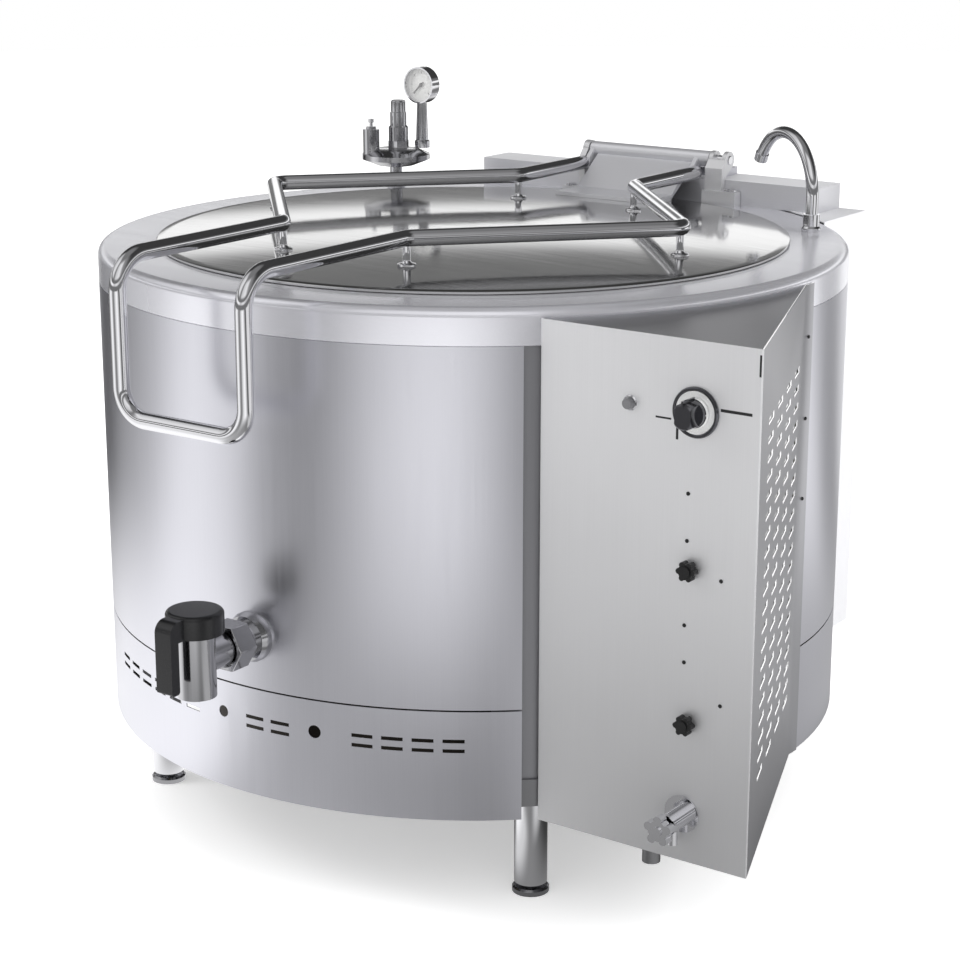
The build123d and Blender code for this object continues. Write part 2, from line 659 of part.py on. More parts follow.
with BuildPart() as drain_tap_body:
    with BuildSketch(front_plane(663, PANEL_Y, 221)):
        Circle(27)
    extrude(amount=3)
    with BuildSketch(front_plane(DRAIN_TAP[0], PANEL_Y + 15, DRAIN_TAP[1])):
        Circle(15)
    extrude(amount=47)
    with BuildSketch(Plane((DRAIN_TAP[0] + 3, -447, 180))):
        Circle(7)
    extrude(amount=30)
    with BuildSketch(Plane((DRAIN_TAP[0] + 3, -447, 180))):
        Circle(4.5)
    extrude(amount=16, mode=Mode.SUBTRACT)
    with BuildSketch(front_plane(TAP_HANDLE[0], -448, TAP_HANDLE[1])):
        Circle(4.05)
    extrude(amount=20, mode=Mode.SUBTRACT)
drain_tap_body.part.label = "drain_tap_body"
export_step(drain_tap_body.part, "parts/drain_tap_body.step")

with BuildPart() as drain_tap_handle:
    with BuildSketch(front_plane(TAP_HANDLE[0], -466, TAP_HANDLE[1])):
        Circle(15)
        with PolarLocations(15.5, 5, start_angle=90):
            Circle(6.5)
    extrude(amount=14)
    with BuildSketch(front_plane(TAP_HANDLE[0], -480, TAP_HANDLE[1])):
        Circle(7)
    extrude(amount=3)
    with BuildSketch(front_plane(TAP_HANDLE[0], -450, TAP_HANDLE[1])):
        Circle(4)
    extrude(amount=18)
drain_tap_handle.part.label = "drain_tap_handle"
export_step(drain_tap_handle.part, "parts/drain_tap_handle.step")

with BuildPart() as drain_pipe:
    with BuildLine() as drain_path:
        FilletPolyline(
            (DRAIN_TAP[0], -415, DRAIN_TAP[1]),
            (DRAIN_TAP[0], -300, DRAIN_TAP[1]),
            (DRAIN_TAP[0], -300, 430),
            on_circle(510, DRAIN_ANGLE, 430),
            radius=25,
        )
    with BuildSketch(Plane(origin=drain_path.line @ 0, z_dir=drain_path.line % 0)):
        Circle(9)
        Circle(6.5, mode=Mode.SUBTRACT)
    sweep(path=drain_path.line)
drain_pipe.part.label = "drain_pipe"
export_step(drain_pipe.part, "parts/drain_pipe.step")

# ---------------------------------------------------------------- draw-off cock
with BuildPart() as cock_pipe:
    with BuildSketch(turned_plane(COCK_X, 0, COCK_Z)):
        with BuildLine():
            Polyline((25, -560), (38, -560), (38, -604), (34, -614), (25, -614), close=True)
        make_face()
    revolve(axis=Axis((COCK_X, 0, COCK_Z), (0, 1, 0)))
    with BuildSketch(Plane.XY.offset(300)):
        Circle(SKIN_R)
    extrude(amount=200, mode=Mode.SUBTRACT)
    with BuildSketch(front_plane(COCK_X, -464, COCK_Z)):
        Circle(28)
        Circle(25, mode=Mode.SUBTRACT)
    extrude(amount=186)
cock_pipe.part.label = "cock_pipe"
export_step(cock_pipe.part, "parts/cock_pipe.step")

with BuildPart() as union_nut:
    with BuildSketch(front_plane(COCK_X, -628, COCK_Z)):
        RegularPolygon(33, 6, major_radius=False)
        Circle(28, mode=Mode.SUBTRACT)
    extrude(amount=36)
    with BuildSketch(turned_plane(COCK_X, 0, COCK_Z)):
        with BuildLine():
            Polyline((34, -660), (39, -665), (39, -655), (34, -655), close=True)
        make_face()
union_nut.part.label = "union_nut"
export_step(union_nut.part, "parts/union_nut.step")

with BuildPart() as cock_body:
    with BuildSketch(Plane((COCK_X, COCK_Y, 345))):
        Circle(28.5)
    extrude(amount=95)
    with BuildSketch(front_plane(COCK_X, -651, COCK_Z)):
        Circle(26)
    extrude(amount=60)
    with BuildSketch(front_plane(COCK_X, -651, COCK_Z)):
        Circle(28)
    extrude(amount=6)
    with BuildSketch(Plane((COCK_X, COCK_Y, 345))):
        Circle(24)
    extrude(amount=27, mode=Mode.SUBTRACT)
    with BuildSketch(Plane((COCK_X, COCK_Y, 370))):
        Circle(22.05)
    extrude(amount=80, mode=Mode.SUBTRACT)
    with BuildSketch(front_plane(COCK_X, -640, COCK_Z)):
        Circle(20)
    extrude(amount=78, mode=Mode.SUBTRACT)
cock_body.part.label = "cock_body"
export_step(cock_body.part, "parts/cock_body.step")

# The plug is hollow: liquid enters by the side port and leaves downwards.
with BuildPart() as cock_plug:
    with BuildSketch(Plane((COCK_X, COCK_Y, 372))):
        Circle(22)
    extrude(amount=73)
    with BuildSketch(Plane((COCK_X, COCK_Y, 371))):
        Circle(17)
    extrude(amount=55, mode=Mode.SUBTRACT)
    with BuildSketch(Plane(origin=(COCK_X, COCK_Y, COCK_Z), x_dir=(0, 1, 0), z_dir=(1, 0, 0))):
        Circle(15)
    extrude(amount=30, mode=Mode.SUBTRACT)
cock_plug.part.label = "cock_plug"
export_step(cock_plug.part, "parts/cock_plug.step")

with BuildPart() as cock_handle:
    with BuildSketch(Plane((COCK_X, COCK_Y, 441))):
        Circle(42)
    extrude(amount=34)
    fillet(cock_handle.faces().sort_by(Axis.Z)[-1].edges(), 7)
    with BuildSketch(Plane.YZ.offset(COCK_X - 15)) as arm_profile:
        with BuildLine():
            Polyline(
                (COCK_Y, 441),
                (COCK_Y - 51, 441),
                (COCK_Y - 51, 365),
                (COCK_Y - 67, 365),
                (COCK_Y - 67, 472),
                (COCK_Y, 472),
                close=True,
            )
        make_face()
        fillet(arm_profile.vertices().group_by(Axis.X)[0].sort_by(Axis.Y)[-1], 18)
        fillet(arm_profile.vertices().group_by(Axis.Y)[0], 5)
    extrude(amount=30)
    with BuildSketch(Plane((COCK_X, COCK_Y, 440))):
        Circle(22)
    extrude(amount=5, mode=Mode.SUBTRACT)
cock_handle.part.label = "cock_handle"
export_step(cock_handle.part, "parts/cock_handle.step")

# ---------------------------------------------------------------- lid
with BuildPart() as lid:
    with BuildSketch(Plane.XZ):
        edge = crown(LID_R, -LID_TOP, LID_CROWN)
        mid = crown(LID_R / 2, -LID_TOP, LID_CROWN)
        under = crown(LID_R - LID_T, -(LID_TOP - LID_T), LID_CROWN - LID_T)
        under_mid = crown((LID_R - LID_T) / 2, -(LID_TOP - LID_T), LID_CROWN - LID_T)
        with BuildLine():
            ThreePointArc((0, LID_TOP), (LID_R / 2, -mid), (LID_R, -edge))
            Polyline((LID_R, -edge), (LID_R, 908.6), (LID_R - LID_T, 908.6), (LID_R - LID_T, -under))
            ThreePointArc((LID_R - LID_T, -under), ((LID_R - LID_T) / 2, -under_mid), (0, LID_TOP - LID_T))
            Line((0, LID_TOP - LID_T), (0, LID_TOP))
        make_face()
        with Locations((477, 906)):
            Rectangle(2, 13)
    revolve(axis=Axis.Z)
lid.part.label = "lid"
export_step(lid.part, "parts/lid.step")

with BuildPart() as lid_gasket:
    with BuildSketch(Plane.XY.offset(907.2)):
        Circle(497)
        Circle(488, mode=Mode.SUBTRACT)
    extrude(amount=3.3)
lid_gasket.part.label = "lid_gasket"
export_step(lid_gasket.part, "parts/lid_gasket.step")

# The lid rail: one bent tube that runs from the hinge, out to both sides, over the rim
# and down in front as the pull loop. Six posts carry it on the dome.
RAIL_POINTS = (
    (RAIL_X, 505, RAIL_Z),
    (RAIL_X, 300, RAIL_Z),
    (405, -18, RAIL_Z),
    (RAIL_X, -335, RAIL_Z),
    (RAIL_X, -697, RAIL_Z),
    (RAIL_X, -697, 730),
    (-RAIL_X, -697, 730),
    (-RAIL_X, -697, RAIL_Z),
    (-RAIL_X, -335, RAIL_Z),
    (-405, -18, RAIL_Z),
    (-RAIL_X, 300, RAIL_Z),
    (-RAIL_X, 505, RAIL_Z),
)
RAIL_RADII = [30, 25, 30, 50, 45, 45, 50, 30, 25, 30]
RAIL_POSTS = ((118, 299), (396, -18), (118, -334), (-118, 299), (-396, -18), (-118, -334))

with BuildPart() as lid_handle:
    with BuildLine() as rail_path:
        FilletPolyline(*RAIL_POINTS, radius=RAIL_RADII)
    with BuildSketch(Plane(origin=rail_path.line @ 0, z_dir=rail_path.line % 0)):
        Circle(RAIL_R)
        Circle(RAIL_R - 2, mode=Mode.SUBTRACT)
    sweep(path=rail_path.line)
    with BuildSketch(Plane.XY.offset(912)):
        with Locations(*RAIL_POSTS):
            Circle(6)
    extrude(amount=RAIL_Z - RAIL_R + 1.6 - 912)
    with BuildSketch(Plane.XY.offset(912)):
        with Locations(*RAIL_POSTS):
            Circle(14)
    extrude(amount=12)
    with BuildSketch(Plane.XZ):
        with BuildLine():
            ThreePointArc((0, LID_TOP), (LID_R / 2, -mid), (LID_R, -edge))
            Polyline((LID_R, -edge), (LID_R, 905), (0, 905), (0, LID_TOP))
        make_face()
    revolve(axis=Axis.Z, mode=Mode.SUBTRACT)
lid_handle.part.label = "lid_handle"
export_step(lid_handle.part, "parts/lid_handle.step")

# ---------------------------------------------------------------- lid hinge
BARREL_R = 14
with BuildPart() as hinge_leaf:
    with BuildSketch(Plane.YZ.offset(-98)):
        with BuildLine():
            Polyline(
                (HINGE_Y + 4, HINGE_Z - 8),
                (HINGE_Y - 8, HINGE_Z - 3),
                (457, 924.5),
                (385, 924.5),
                (385, 905),
                (457, 905),
                (457, 918),
                close=True,
            )
        make_face()
    extrude(amount=196)
    with BuildSketch(Plane.XZ):
        with BuildLine():
            ThreePointArc((0, LID_TOP), (LID_R / 2, -mid), (LID_R, -edge))
            Polyline((LID_R, -edge), (LID_R, 900), (0, 900), (0, LID_TOP))
        make_face()
    revolve(axis=Axis.Z, mode=Mode.SUBTRACT)
    with BuildSketch(Plane(origin=(-114, HINGE_Y, HINGE_Z), x_dir=(0, 1, 0), z_dir=(1, 0, 0))):
        Circle(BARREL_R)
    extrude(amount=246)
    # Lugs that hold the ends of the lid rail.
    with BuildSketch(Plane.YZ.offset(104), Plane.YZ.offset(-112)):
        with BuildLine():
            Polyline((505, 950), (505, 970), (527, 990), (541, 974), (520, 953), (512, 950), close=True)
        make_face()
    extrude(amount=8)
    with BuildSketch(Plane(origin=(-120, HINGE_Y, HINGE_Z), x_dir=(0, 1, 0), z_dir=(1, 0, 0))):
        Circle(PIN_R + 0.05)
    extrude(amount=260, mode=Mode.SUBTRACT)
    with BuildSketch(Plane(origin=(-98, HINGE_Y, HINGE_Z), x_dir=(0, 1, 0), z_dir=(1, 0, 0))):
        Circle(12.5)
    extrude(amount=196, mode=Mode.SUBTRACT)
hinge_leaf.part.label = "hinge_leaf"
export_step(hinge_leaf.part, "parts/hinge_leaf.step")

with BuildPart() as hinge_shaft:
    with BuildSketch(Plane(origin=(-130, HINGE_Y, HINGE_Z), x_dir=(0, 1, 0), z_dir=(1, 0, 0))):
        Circle(PIN_R)
    extrude(amount=300)
    chamfer(hinge_shaft.edges().filter_by(GeomType.CIRCLE), 1)
hinge_shaft.part.label = "hinge_shaft"
export_step(hinge_shaft.part, "parts/hinge_shaft.step")

# Counterbalance springs: close-wound coils on the shaft, inside the barrel.
with BuildPart() as balance_springs:
    with BuildSketch(Plane(origin=(0, HINGE_Y, HINGE_Z), x_dir=(1, 0, 0), z_dir=(0, -1, 0))):
        with GridLocations(3.2, 0, 11, 1):
            with Locations((-50, 10.3), (50, 10.3)):
                Circle(1.7)
    revolve(axis=Axis((0, HINGE_Y, HINGE_Z), (1, 0, 0)))
balance_springs.part.label = "balance_springs"
export_step(balance_springs.part, "parts/balance_springs.step")

BRACKET_OUTLINE = ((508, 907), (519.5, 907), (519.5, 952), (546, 971), (530, 996), (508, 970))
with BuildPart() as hinge_bracket_left:
    with BuildSketch(Plane.YZ.offset(-128)):
        with BuildLine():
            Polyline(*BRACKET_OUTLINE, close=True)
        make_face()
        with Locations((HINGE_Y, HINGE_Z)):
            Circle(15.5)
            Circle(PIN_R, mode=Mode.SUBTRACT)
    extrude(amount=12)
    with BuildSketch(Plane.XY.offset(DECK_Z)):
        with Locations((-144, 512)):
            Rectangle(36, 15)
    extrude(amount=8)
hinge_bracket_left.part.label = "hinge_bracket_left"
export_step(hinge_bracket_left.part, "parts/hinge_bracket_left.step")

with BuildPart() as hinge_bracket_right:
    with BuildSketch(Plane.YZ.offset(134)):
        with BuildLine():
            Polyline(*BRACKET_OUTLINE, close=True)
        make_face()
        with Locations((HINGE_Y, HINGE_Z)):
            Circle(15.5)
            Circle(PIN_R, mode=Mode.SUBTRACT)
    extrude(amount=34)
    with BuildSketch(Plane.XY.offset(956)):
        with Locations((151, 541)):
            Rectangle(18, 42)
    extrude(amount=60, mode=Mode.SUBTRACT)
    with BuildSketch(Plane.XY.offset(DECK_Z)):
        with Locations((167, 508.5)):
            Rectangle(66, 21)
    extrude(amount=25)
hinge_bracket_right.part.label = "hinge_bracket_right"
export_step(hinge_bracket_right.part, "parts/hinge_bracket_right.step")

with BuildPart() as hinge_bolts:
    with BuildSketch(Plane.XY.offset(DECK_Z + 8)):
        with Locations((-152, 512)):
            RegularPolygon(5, 6, major_radius=False)
    extrude(amount=4)
    with BuildSketch(Plane.XY.offset(DECK_Z + 25)):
        with Locations((178, 508.5), (192, 508.5)):
            RegularPolygon(5, 6, major_radius=False)
    extrude(amount=4)
hinge_bolts.part.label = "hinge_bolts"
export_step(hinge_bolts.part, "parts/hinge_bolts.step")

# ---------------------------------------------------------------- water supply and swan neck
with BuildPart() as water_pipe:
    with BuildSketch(Plane((SWAN_X, SWAN_Y, 140))):
        Circle(10.65)
        Circle(8, mode=Mode.SUBTRACT)
    extrude(amount=764)
    # Threaded end, drawn at the major diameter of its thread.
    with BuildSketch(Plane((SWAN_X, SWAN_Y, 120))):
        Circle(10.47)
        Circle(8, mode=Mode.SUBTRACT)
    extrude(amount=20)
water_pipe.part.label = "water_pipe"
export_step(water_pipe.part, "parts/water_pipe.step")

with BuildPart() as swan_ferrule:
    with BuildSketch(Plane((SWAN_X, SWAN_Y, 0), x_dir=(1, 0, 0), z_dir=(0, -1, 0))):
        with BuildLine():
            Polyline((10.05, 904), (12, 904), (12, 907), (16, 907), (16, 913), (13.5, 916), (13.5, 935), (10.05, 935), close=True)
        make_face()
    revolve(axis=Axis((SWAN_X, SWAN_Y, 0), (0, 0, 1)))
swan_ferrule.part.label = "swan_ferrule"
export_step(swan_ferrule.part, "parts/swan_ferrule.step")

SPOUT_DIR = (cos(radians(SWAN_TURN)), sin(radians(SWAN_TURN)), 0)
SPOUT_SIDE = (sin(radians(SWAN_TURN)), -cos(radians(SWAN_TURN)), 0)
with BuildPart() as swan_neck:
    with BuildLine(Plane(origin=(SWAN_X, SWAN_Y, 964), x_dir=SPOUT_DIR, z_dir=SPOUT_SIDE)) as spout_path:
        Line((0, -56), (0, 0))
        JernArc(start=(0, 0), tangent=(0, 1), radius=93, arc_size=-155)
    with BuildSketch(Plane((SWAN_X, SWAN_Y, 908))):
        Circle(10)
        Circle(8, mode=Mode.SUBTRACT)
    sweep(path=spout_path.line)
    tip_plane = Plane(origin=spout_path.line @ 1, z_dir=spout_path.line % 1)
    with BuildSketch(tip_plane.offset(-12)):
        Circle(11.5)
        Circle(8, mode=Mode.SUBTRACT)
    extrude(amount=14)
swan_neck.part.label = "swan_neck"
export_step(swan_neck.part, "parts/swan_neck.step")

# ---------------------------------------------------------------- jacket safety group
ROW_X = 0.643           # direction of the row of fittings on the manifold
ROW_Y = 0.766
VALVE_X = SAFETY_X + 5 * ROW_X
VALVE_Y = SAFETY_Y + 5 * ROW_Y
VACUUM_X = SAFETY_X - 46 * ROW_X
VACUUM_Y = SAFETY_Y - 46 * ROW_Y

with BuildPart() as safety_manifold:
    with BuildSketch(Plane((SAFETY_X, SAFETY_Y, 0), x_dir=(1, 0, 0), z_dir=(0, -1, 0))):
        with BuildLine():
            Polyline(
                (0, 890),
                (9, 890),
                (9, 907),
                (17, 907),
                (17, 912),
                (11, 914),
                (11, 942),
                (34, 946),
                (62, 957),
                (62, 966),
                (44, 974),
                (30, 976),
                (0, 976),
                close=True,
            )
        make_face()
    revolve(axis=Axis((SAFETY_X, SAFETY_Y, 0), (0, 0, 1)))
    with BuildSketch(Plane((VACUUM_X, VACUUM_Y, 962))):
        Circle(15)
    extrude(amount=50)
    with BuildSketch(Plane((VACUUM_X, VACUUM_Y, 1012))):
        Circle(9)
    extrude(amount=5)
    with BuildSketch(Plane((VACUUM_X, VACUUM_Y, 990))):
        Circle(3.05)
    extrude(amount=40, mode=Mode.SUBTRACT)
safety_manifold.part.label = "safety_manifold"
export_step(safety_manifold.part, "parts/safety_manifold.step")

with BuildPart() as vacuum_valve_pin:
    with BuildSketch(Plane((VACUUM_X, VACUUM_Y, 996))):
        Circle(3)
    extrude(amount=34)
    with BuildSketch(Plane((VACUUM_X, VACUUM_Y, 1024))):
        Circle(5)
    extrude(amount=7)
vacuum_valve_pin.part.label = "vacuum_valve_pin"
export_step(vacuum_valve_pin.part, "parts/vacuum_valve_pin.step")

with BuildPart() as safety_valve_body:
    with BuildSketch(Plane((VALVE_X, VALVE_Y, 976))):
        RegularPolygon(17.5, 6, major_radius=False)
    extrude(amount=14)
    with BuildSketch(Plane((VALVE_X, VALVE_Y, 990))):
        Circle(18)
    extrude(amount=28)
    chamfer(safety_valve_body.faces().sort_by(Axis.Z)[-1].edges(), 3)
    with BuildSketch(Plane((VALVE_X, VALVE_Y, 1018))):
        Circle(15)
    extrude(amount=24)
    with BuildSketch(Plane((VALVE_X, VALVE_Y, 1000))):
        Circle(4.05)
    extrude(amount=60, mode=Mode.SUBTRACT)
safety_valve_body.part.label = "safety_valve_body"
export_step(safety_valve_body.part, "parts/safety_valve_body.step")

with BuildPart() as safety_valve_cap:
    with BuildSketch(Plane((VALVE_X, VALVE_Y, 1010))):
        Circle(4)
    extrude(amount=40)
    with BuildSketch(Plane((VALVE_X, VALVE_Y, 1043))):
        Circle(13.5)
    extrude(amount=21)
    fillet(safety_valve_cap.faces().sort_by(Axis.Z)[-1].edges(), 4)
safety_valve_cap.part.label = "safety_valve_cap"
export_step(safety_valve_cap.part, "parts/safety_valve_cap.step")

with BuildPart() as gauge_case:
    with BuildSketch(front_plane(GAUGE_X, GAUGE_Y + 12, GAUGE_Z)):
        Circle(33)
    extrude(amount=24)
    fillet(gauge_case.faces().sort_by(Axis.Y)[-1].edges(), 3)
    with BuildSketch(Plane((GAUGE_X, GAUGE_Y, 0), x_dir=(1, 0, 0), z_dir=(0, -1, 0))):
        with BuildLine():
            Polyline((0, 976), (14, 976), (14, 988), (11.5, 990), (9, 1062), (0, 1062), close=True)
        make_face()
    revolve(axis=Axis((GAUGE_X, GAUGE_Y, 0), (0, 0, 1)))
    with BuildSketch(front_plane(GAUGE_X, GAUGE_Y + 1.2, GAUGE_Z)):
        Circle(30.2)
    extrude(amount=20, mode=Mode.SUBTRACT)
    with BuildSketch(front_plane(GAUGE_X, GAUGE_Y + 6, GAUGE_Z)):
        Circle(1.05)
    extrude(amount=10, mode=Mode.SUBTRACT)
gauge_case.part.label = "gauge_case"
export_step(gauge_case.part, "parts/gauge_case.step")

with BuildPart() as gauge_dial:
    with BuildSketch(front_plane(GAUGE_X, GAUGE_Y + 1.2, GAUGE_Z)):
        Circle(30.2)
        Circle(1.05, mode=Mode.SUBTRACT)
    extrude(amount=1.2)
gauge_dial.part.label = "gauge_dial"
export_step(gauge_dial.part, "parts/gauge_dial.step")

with BuildPart() as gauge_glass:
    with BuildSketch(front_plane(GAUGE_X, GAUGE_Y - 8, GAUGE_Z)):
        Circle(30.2)
    extrude(amount=2.5)
gauge_glass.part.label = "gauge_glass"
export_step(gauge_glass.part, "parts/gauge_glass.step")

# The needle rests at the lower left stop of the scale.
with BuildPart() as gauge_needle:
    with BuildSketch(front_plane(GAUGE_X, GAUGE_Y + 4, GAUGE_Z)):
        Circle(1)
    extrude(amount=8)
    with BuildSketch(front_plane(GAUGE_X, GAUGE_Y - 2.5, GAUGE_Z)):
        Circle(3.5)
        with BuildLine():
            Polyline((-1.4, 1.4), (-17, -15.5), (-16.2, -16.3), (1.4, -1.4), (5.5, 4.3), (4.3, 5.5), close=True)
        make_face()
    extrude(amount=1.2)
gauge_needle.part.label = "gauge_needle"
export_step(gauge_needle.part, "parts/gauge_needle.step")
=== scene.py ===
# %% [markdown]
# # A steam jacketed kettle in stainless steel
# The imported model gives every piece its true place. This notebook gives the pieces
# their surfaces: rolled sheet, bent tube, turned fittings and moulded knobs, and a
# small studio. All lengths in Blender are metres, so the numbers measured in
# millimetres go through MM.

# %% Load the frame
import bpy
import bmesh
import json
import numpy as np
from math import radians, pi
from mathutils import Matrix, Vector


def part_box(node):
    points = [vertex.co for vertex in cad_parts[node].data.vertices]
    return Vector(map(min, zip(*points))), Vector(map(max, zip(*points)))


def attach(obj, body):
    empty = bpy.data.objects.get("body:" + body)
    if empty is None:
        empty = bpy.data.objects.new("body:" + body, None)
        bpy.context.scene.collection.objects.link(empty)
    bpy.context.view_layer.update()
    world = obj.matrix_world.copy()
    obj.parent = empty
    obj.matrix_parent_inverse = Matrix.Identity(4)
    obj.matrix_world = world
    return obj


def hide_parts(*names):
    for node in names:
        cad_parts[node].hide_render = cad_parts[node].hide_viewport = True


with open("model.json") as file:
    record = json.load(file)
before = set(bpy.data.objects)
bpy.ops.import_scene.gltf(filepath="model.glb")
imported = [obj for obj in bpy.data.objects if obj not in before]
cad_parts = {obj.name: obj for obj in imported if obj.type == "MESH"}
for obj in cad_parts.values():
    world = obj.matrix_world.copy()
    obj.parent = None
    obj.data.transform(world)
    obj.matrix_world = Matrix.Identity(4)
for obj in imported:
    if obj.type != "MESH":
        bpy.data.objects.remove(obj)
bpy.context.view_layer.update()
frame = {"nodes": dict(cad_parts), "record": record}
nodes = frame["nodes"]
scene = bpy.context.scene
scene.view_settings.view_transform = "Standard"
MM = 0.001


# %% [markdown]
# ## Small tools for materials
# Colours are written as the hex values that a paint chart would give, which are sRGB.
# Shaders work in linear light, so one function turns the first into the second. A
# second one adds a node, sets its inputs and joins it to others, which keeps each
# recipe a few lines long.

# %% Material tools
def linear(hex_colour):
    """sRGB hex to linear RGBA: a straight low end, and a power of 2.4 above it."""
    srgb = np.array([int(hex_colour[i:i + 2], 16) for i in (1, 3, 5)]) / 255
    rgb = np.where(srgb <= 0.04045, srgb / 12.92, ((srgb + 0.055) / 1.055) ** 2.4)
    return (*[float(v) for v in rgb], 1.0)


def add(tree, kind, inputs=None, **settings):
    """Adds one node; inputs maps a socket to a value or to another node's output."""
    node = tree.nodes.new(kind)
    for name, value in settings.items():
        setattr(node, name, value)
    for socket, value in (inputs or {}).items():
        if isinstance(value, bpy.types.NodeSocket):
            tree.links.new(value, node.inputs[socket])
        else:
            node.inputs[socket].default_value = value
    return node


def new_material(name):
    """An empty material; the caller adds its shader and ends with finish_material."""
    material = bpy.data.materials.new(name)
    material.use_nodes = True
    material.node_tree.nodes.clear()
    return material, material.node_tree


def finish_material(tree, shader):
    """Joins the shader to the output of the material."""
    add(tree, "ShaderNodeOutputMaterial", {"Surface": shader.outputs[0]})


# %% [markdown]
# ## Stainless steel
# Catering steel is grade 304 sheet. The casing is ground with a belt, so fine scratches
# run one way and a reflection smears across them. Scratches are 0.05 mm wide, too fine
# to show from four metres, so the streaks here are drawn 2 to 4 mm apart. A recipe may
# also darken the sheet towards the floor with a smooth step, as painted shade.

# %% Ground steel
GRIND_LENGTH = 120.0  # a streak is this many times longer than it is wide
CLOUD_SCALE = 4.0  # faint clouds about 250 mm across, as cloths leave them
NOISE_RANGE = {"From Min": 0.3, "From Max": 0.7}  # most of a noise lies in here
ROUGH_SWING, STREAK_SWING, CLOUD_SWING = 0.025, 0.012, 0.015
# The painted shade near the floor fades out between these heights.
FLOOR_SHADE_LOW, FLOOR_SHADE_HIGH = 0.10, 0.80  # metres above the floor


def ground_steel(name, tint, roughness, streak_mm, along, metallic=1.0, floor_shade_tone=1.0):
    """Belt-ground steel: noise stretched along the grind moves roughness and colour.

    Towards the floor the tint is multiplied by a lower tone, with a smooth step:
    painted shade."""
    material, tree = new_material(name)
    place = add(tree, "ShaderNodeTexCoord").outputs["Object"]
    stretch = [1 / (streak_mm * MM)] * 3
    stretch[along] /= GRIND_LENGTH
    spread = add(tree, "ShaderNodeMapping", {"Vector": place, "Scale": stretch})
    streaks = add(tree, "ShaderNodeTexNoise", {
        "Vector": spread.outputs[0], "Scale": 1.0, "Detail": 3.0})
    cloud = add(tree, "ShaderNodeTexNoise", {
        "Vector": place, "Scale": CLOUD_SCALE, "Detail": 2.0})
    rough = add(tree, "ShaderNodeMapRange", {
        "Value": streaks.outputs[0], **NOISE_RANGE,
        "To Min": roughness - ROUGH_SWING, "To Max": roughness + ROUGH_SWING})
    streak_tone = add(tree, "ShaderNodeMapRange", {
        "Value": streaks.outputs[0], **NOISE_RANGE,
        "To Min": 1 - STREAK_SWING, "To Max": 1 + STREAK_SWING})
    cloud_tone = add(tree, "ShaderNodeMapRange", {
        "Value": cloud.outputs[0], **NOISE_RANGE,
        "To Min": 1 - CLOUD_SWING, "To Max": 1 + CLOUD_SWING})
    tone = add(tree, "ShaderNodeMath", {
        0: streak_tone.outputs[0], 1: cloud_tone.outputs[0]}, operation="MULTIPLY")
    # Painted shade: the tint darkens towards the floor.
    height = add(tree, "ShaderNodeSeparateXYZ", {"Vector": place})
    floor_shade_step = add(tree, "ShaderNodeMapRange", {
        "Value": height.outputs[2], "From Min": FLOOR_SHADE_LOW, "From Max": FLOOR_SHADE_HIGH,
        "To Min": floor_shade_tone, "To Max": 1.0}, interpolation_type="SMOOTHSTEP")
    grain_and_shade = add(tree, "ShaderNodeMath", {
        0: tone.outputs[0], 1: floor_shade_step.outputs[0]}, operation="MULTIPLY")
    shade = add(tree, "ShaderNodeHueSaturation", {
        "Color": linear(tint), "Value": grain_and_shade.outputs[0]})
    metal = add(tree, "ShaderNodeBsdfPrincipled", {
        "Base Color": shade.outputs[0], "Metallic": metallic,
        "Roughness": rough.outputs[0]})
    finish_material(tree, metal)
    return material


# %% [markdown]
# ## Polished metal, moulded plastic and cast metal
# Rail, spout and fittings are buffed with a wheel or plated with chromium. That leaves
# no grain, only a faint haze where hands and cloths have been, so noise moves the
# roughness a little. Plastic, rubber, brass and cast iron share one recipe: a noise as
# wide as the real grain moves colour, roughness and height, and only its numbers
# differ.

# %% Polished and moulded finishes
WEAR_SCALE = 30.0  # patches of wear about 33 mm across
WEAR_RANGE = {"From Min": 0.35, "From Max": 0.75}
HAZE = 0.06  # what the wear adds to the roughness
BUMP_STRENGTH = 0.3


def polished_steel(name, tint, roughness):
    """Mirror-polished steel: a faint cloud of wear only moves the roughness."""
    material, tree = new_material(name)
    place = add(tree, "ShaderNodeTexCoord").outputs["Object"]
    wear = add(tree, "ShaderNodeTexNoise", {
        "Vector": place, "Scale": WEAR_SCALE, "Detail": 4.0})
    rough = add(tree, "ShaderNodeMapRange", {
        "Value": wear.outputs[0], **WEAR_RANGE,
        "To Min": roughness, "To Max": roughness + HAZE})
    metal = add(tree, "ShaderNodeBsdfPrincipled", {
        "Base Color": linear(tint), "Metallic": 1.0, "Roughness": rough.outputs[0]})
    finish_material(tree, metal)
    return material


def plain_finish(name, tint, roughness, grain_mm,
                 metallic=0.0, depth=0.05, spread=0.05):
    """Moulded, cast or painted surface: one noise moves colour, roughness and height.

    The grain and its depth are in millimetres, the spread is that of colour and
    roughness on either side of their middle."""
    material, tree = new_material(name)
    place = add(tree, "ShaderNodeTexCoord").outputs["Object"]
    grain = add(tree, "ShaderNodeTexNoise", {
        "Vector": place, "Scale": 1 / (grain_mm * MM), "Detail": 3.0})
    rough = add(tree, "ShaderNodeMapRange", {
        "Value": grain.outputs[0], **NOISE_RANGE,
        "To Min": roughness - spread, "To Max": roughness + spread})
    level = add(tree, "ShaderNodeMapRange", {
        "Value": grain.outputs[0], **NOISE_RANGE,
        "To Min": 1 - spread, "To Max": 1 + spread})
    shade = add(tree, "ShaderNodeHueSaturation", {
        "Color": linear(tint), "Value": level.outputs[0]})
    bump = add(tree, "ShaderNodeBump", {
        "Height": grain.outputs[0], "Strength": BUMP_STRENGTH, "Distance": depth * MM})
    body = add(tree, "ShaderNodeBsdfPrincipled", {
        "Base Color": shade.outputs[0], "Metallic": metallic,
        "Roughness": rough.outputs[0], "Normal": bump.outputs[0]})
    finish_material(tree, body)
    return material


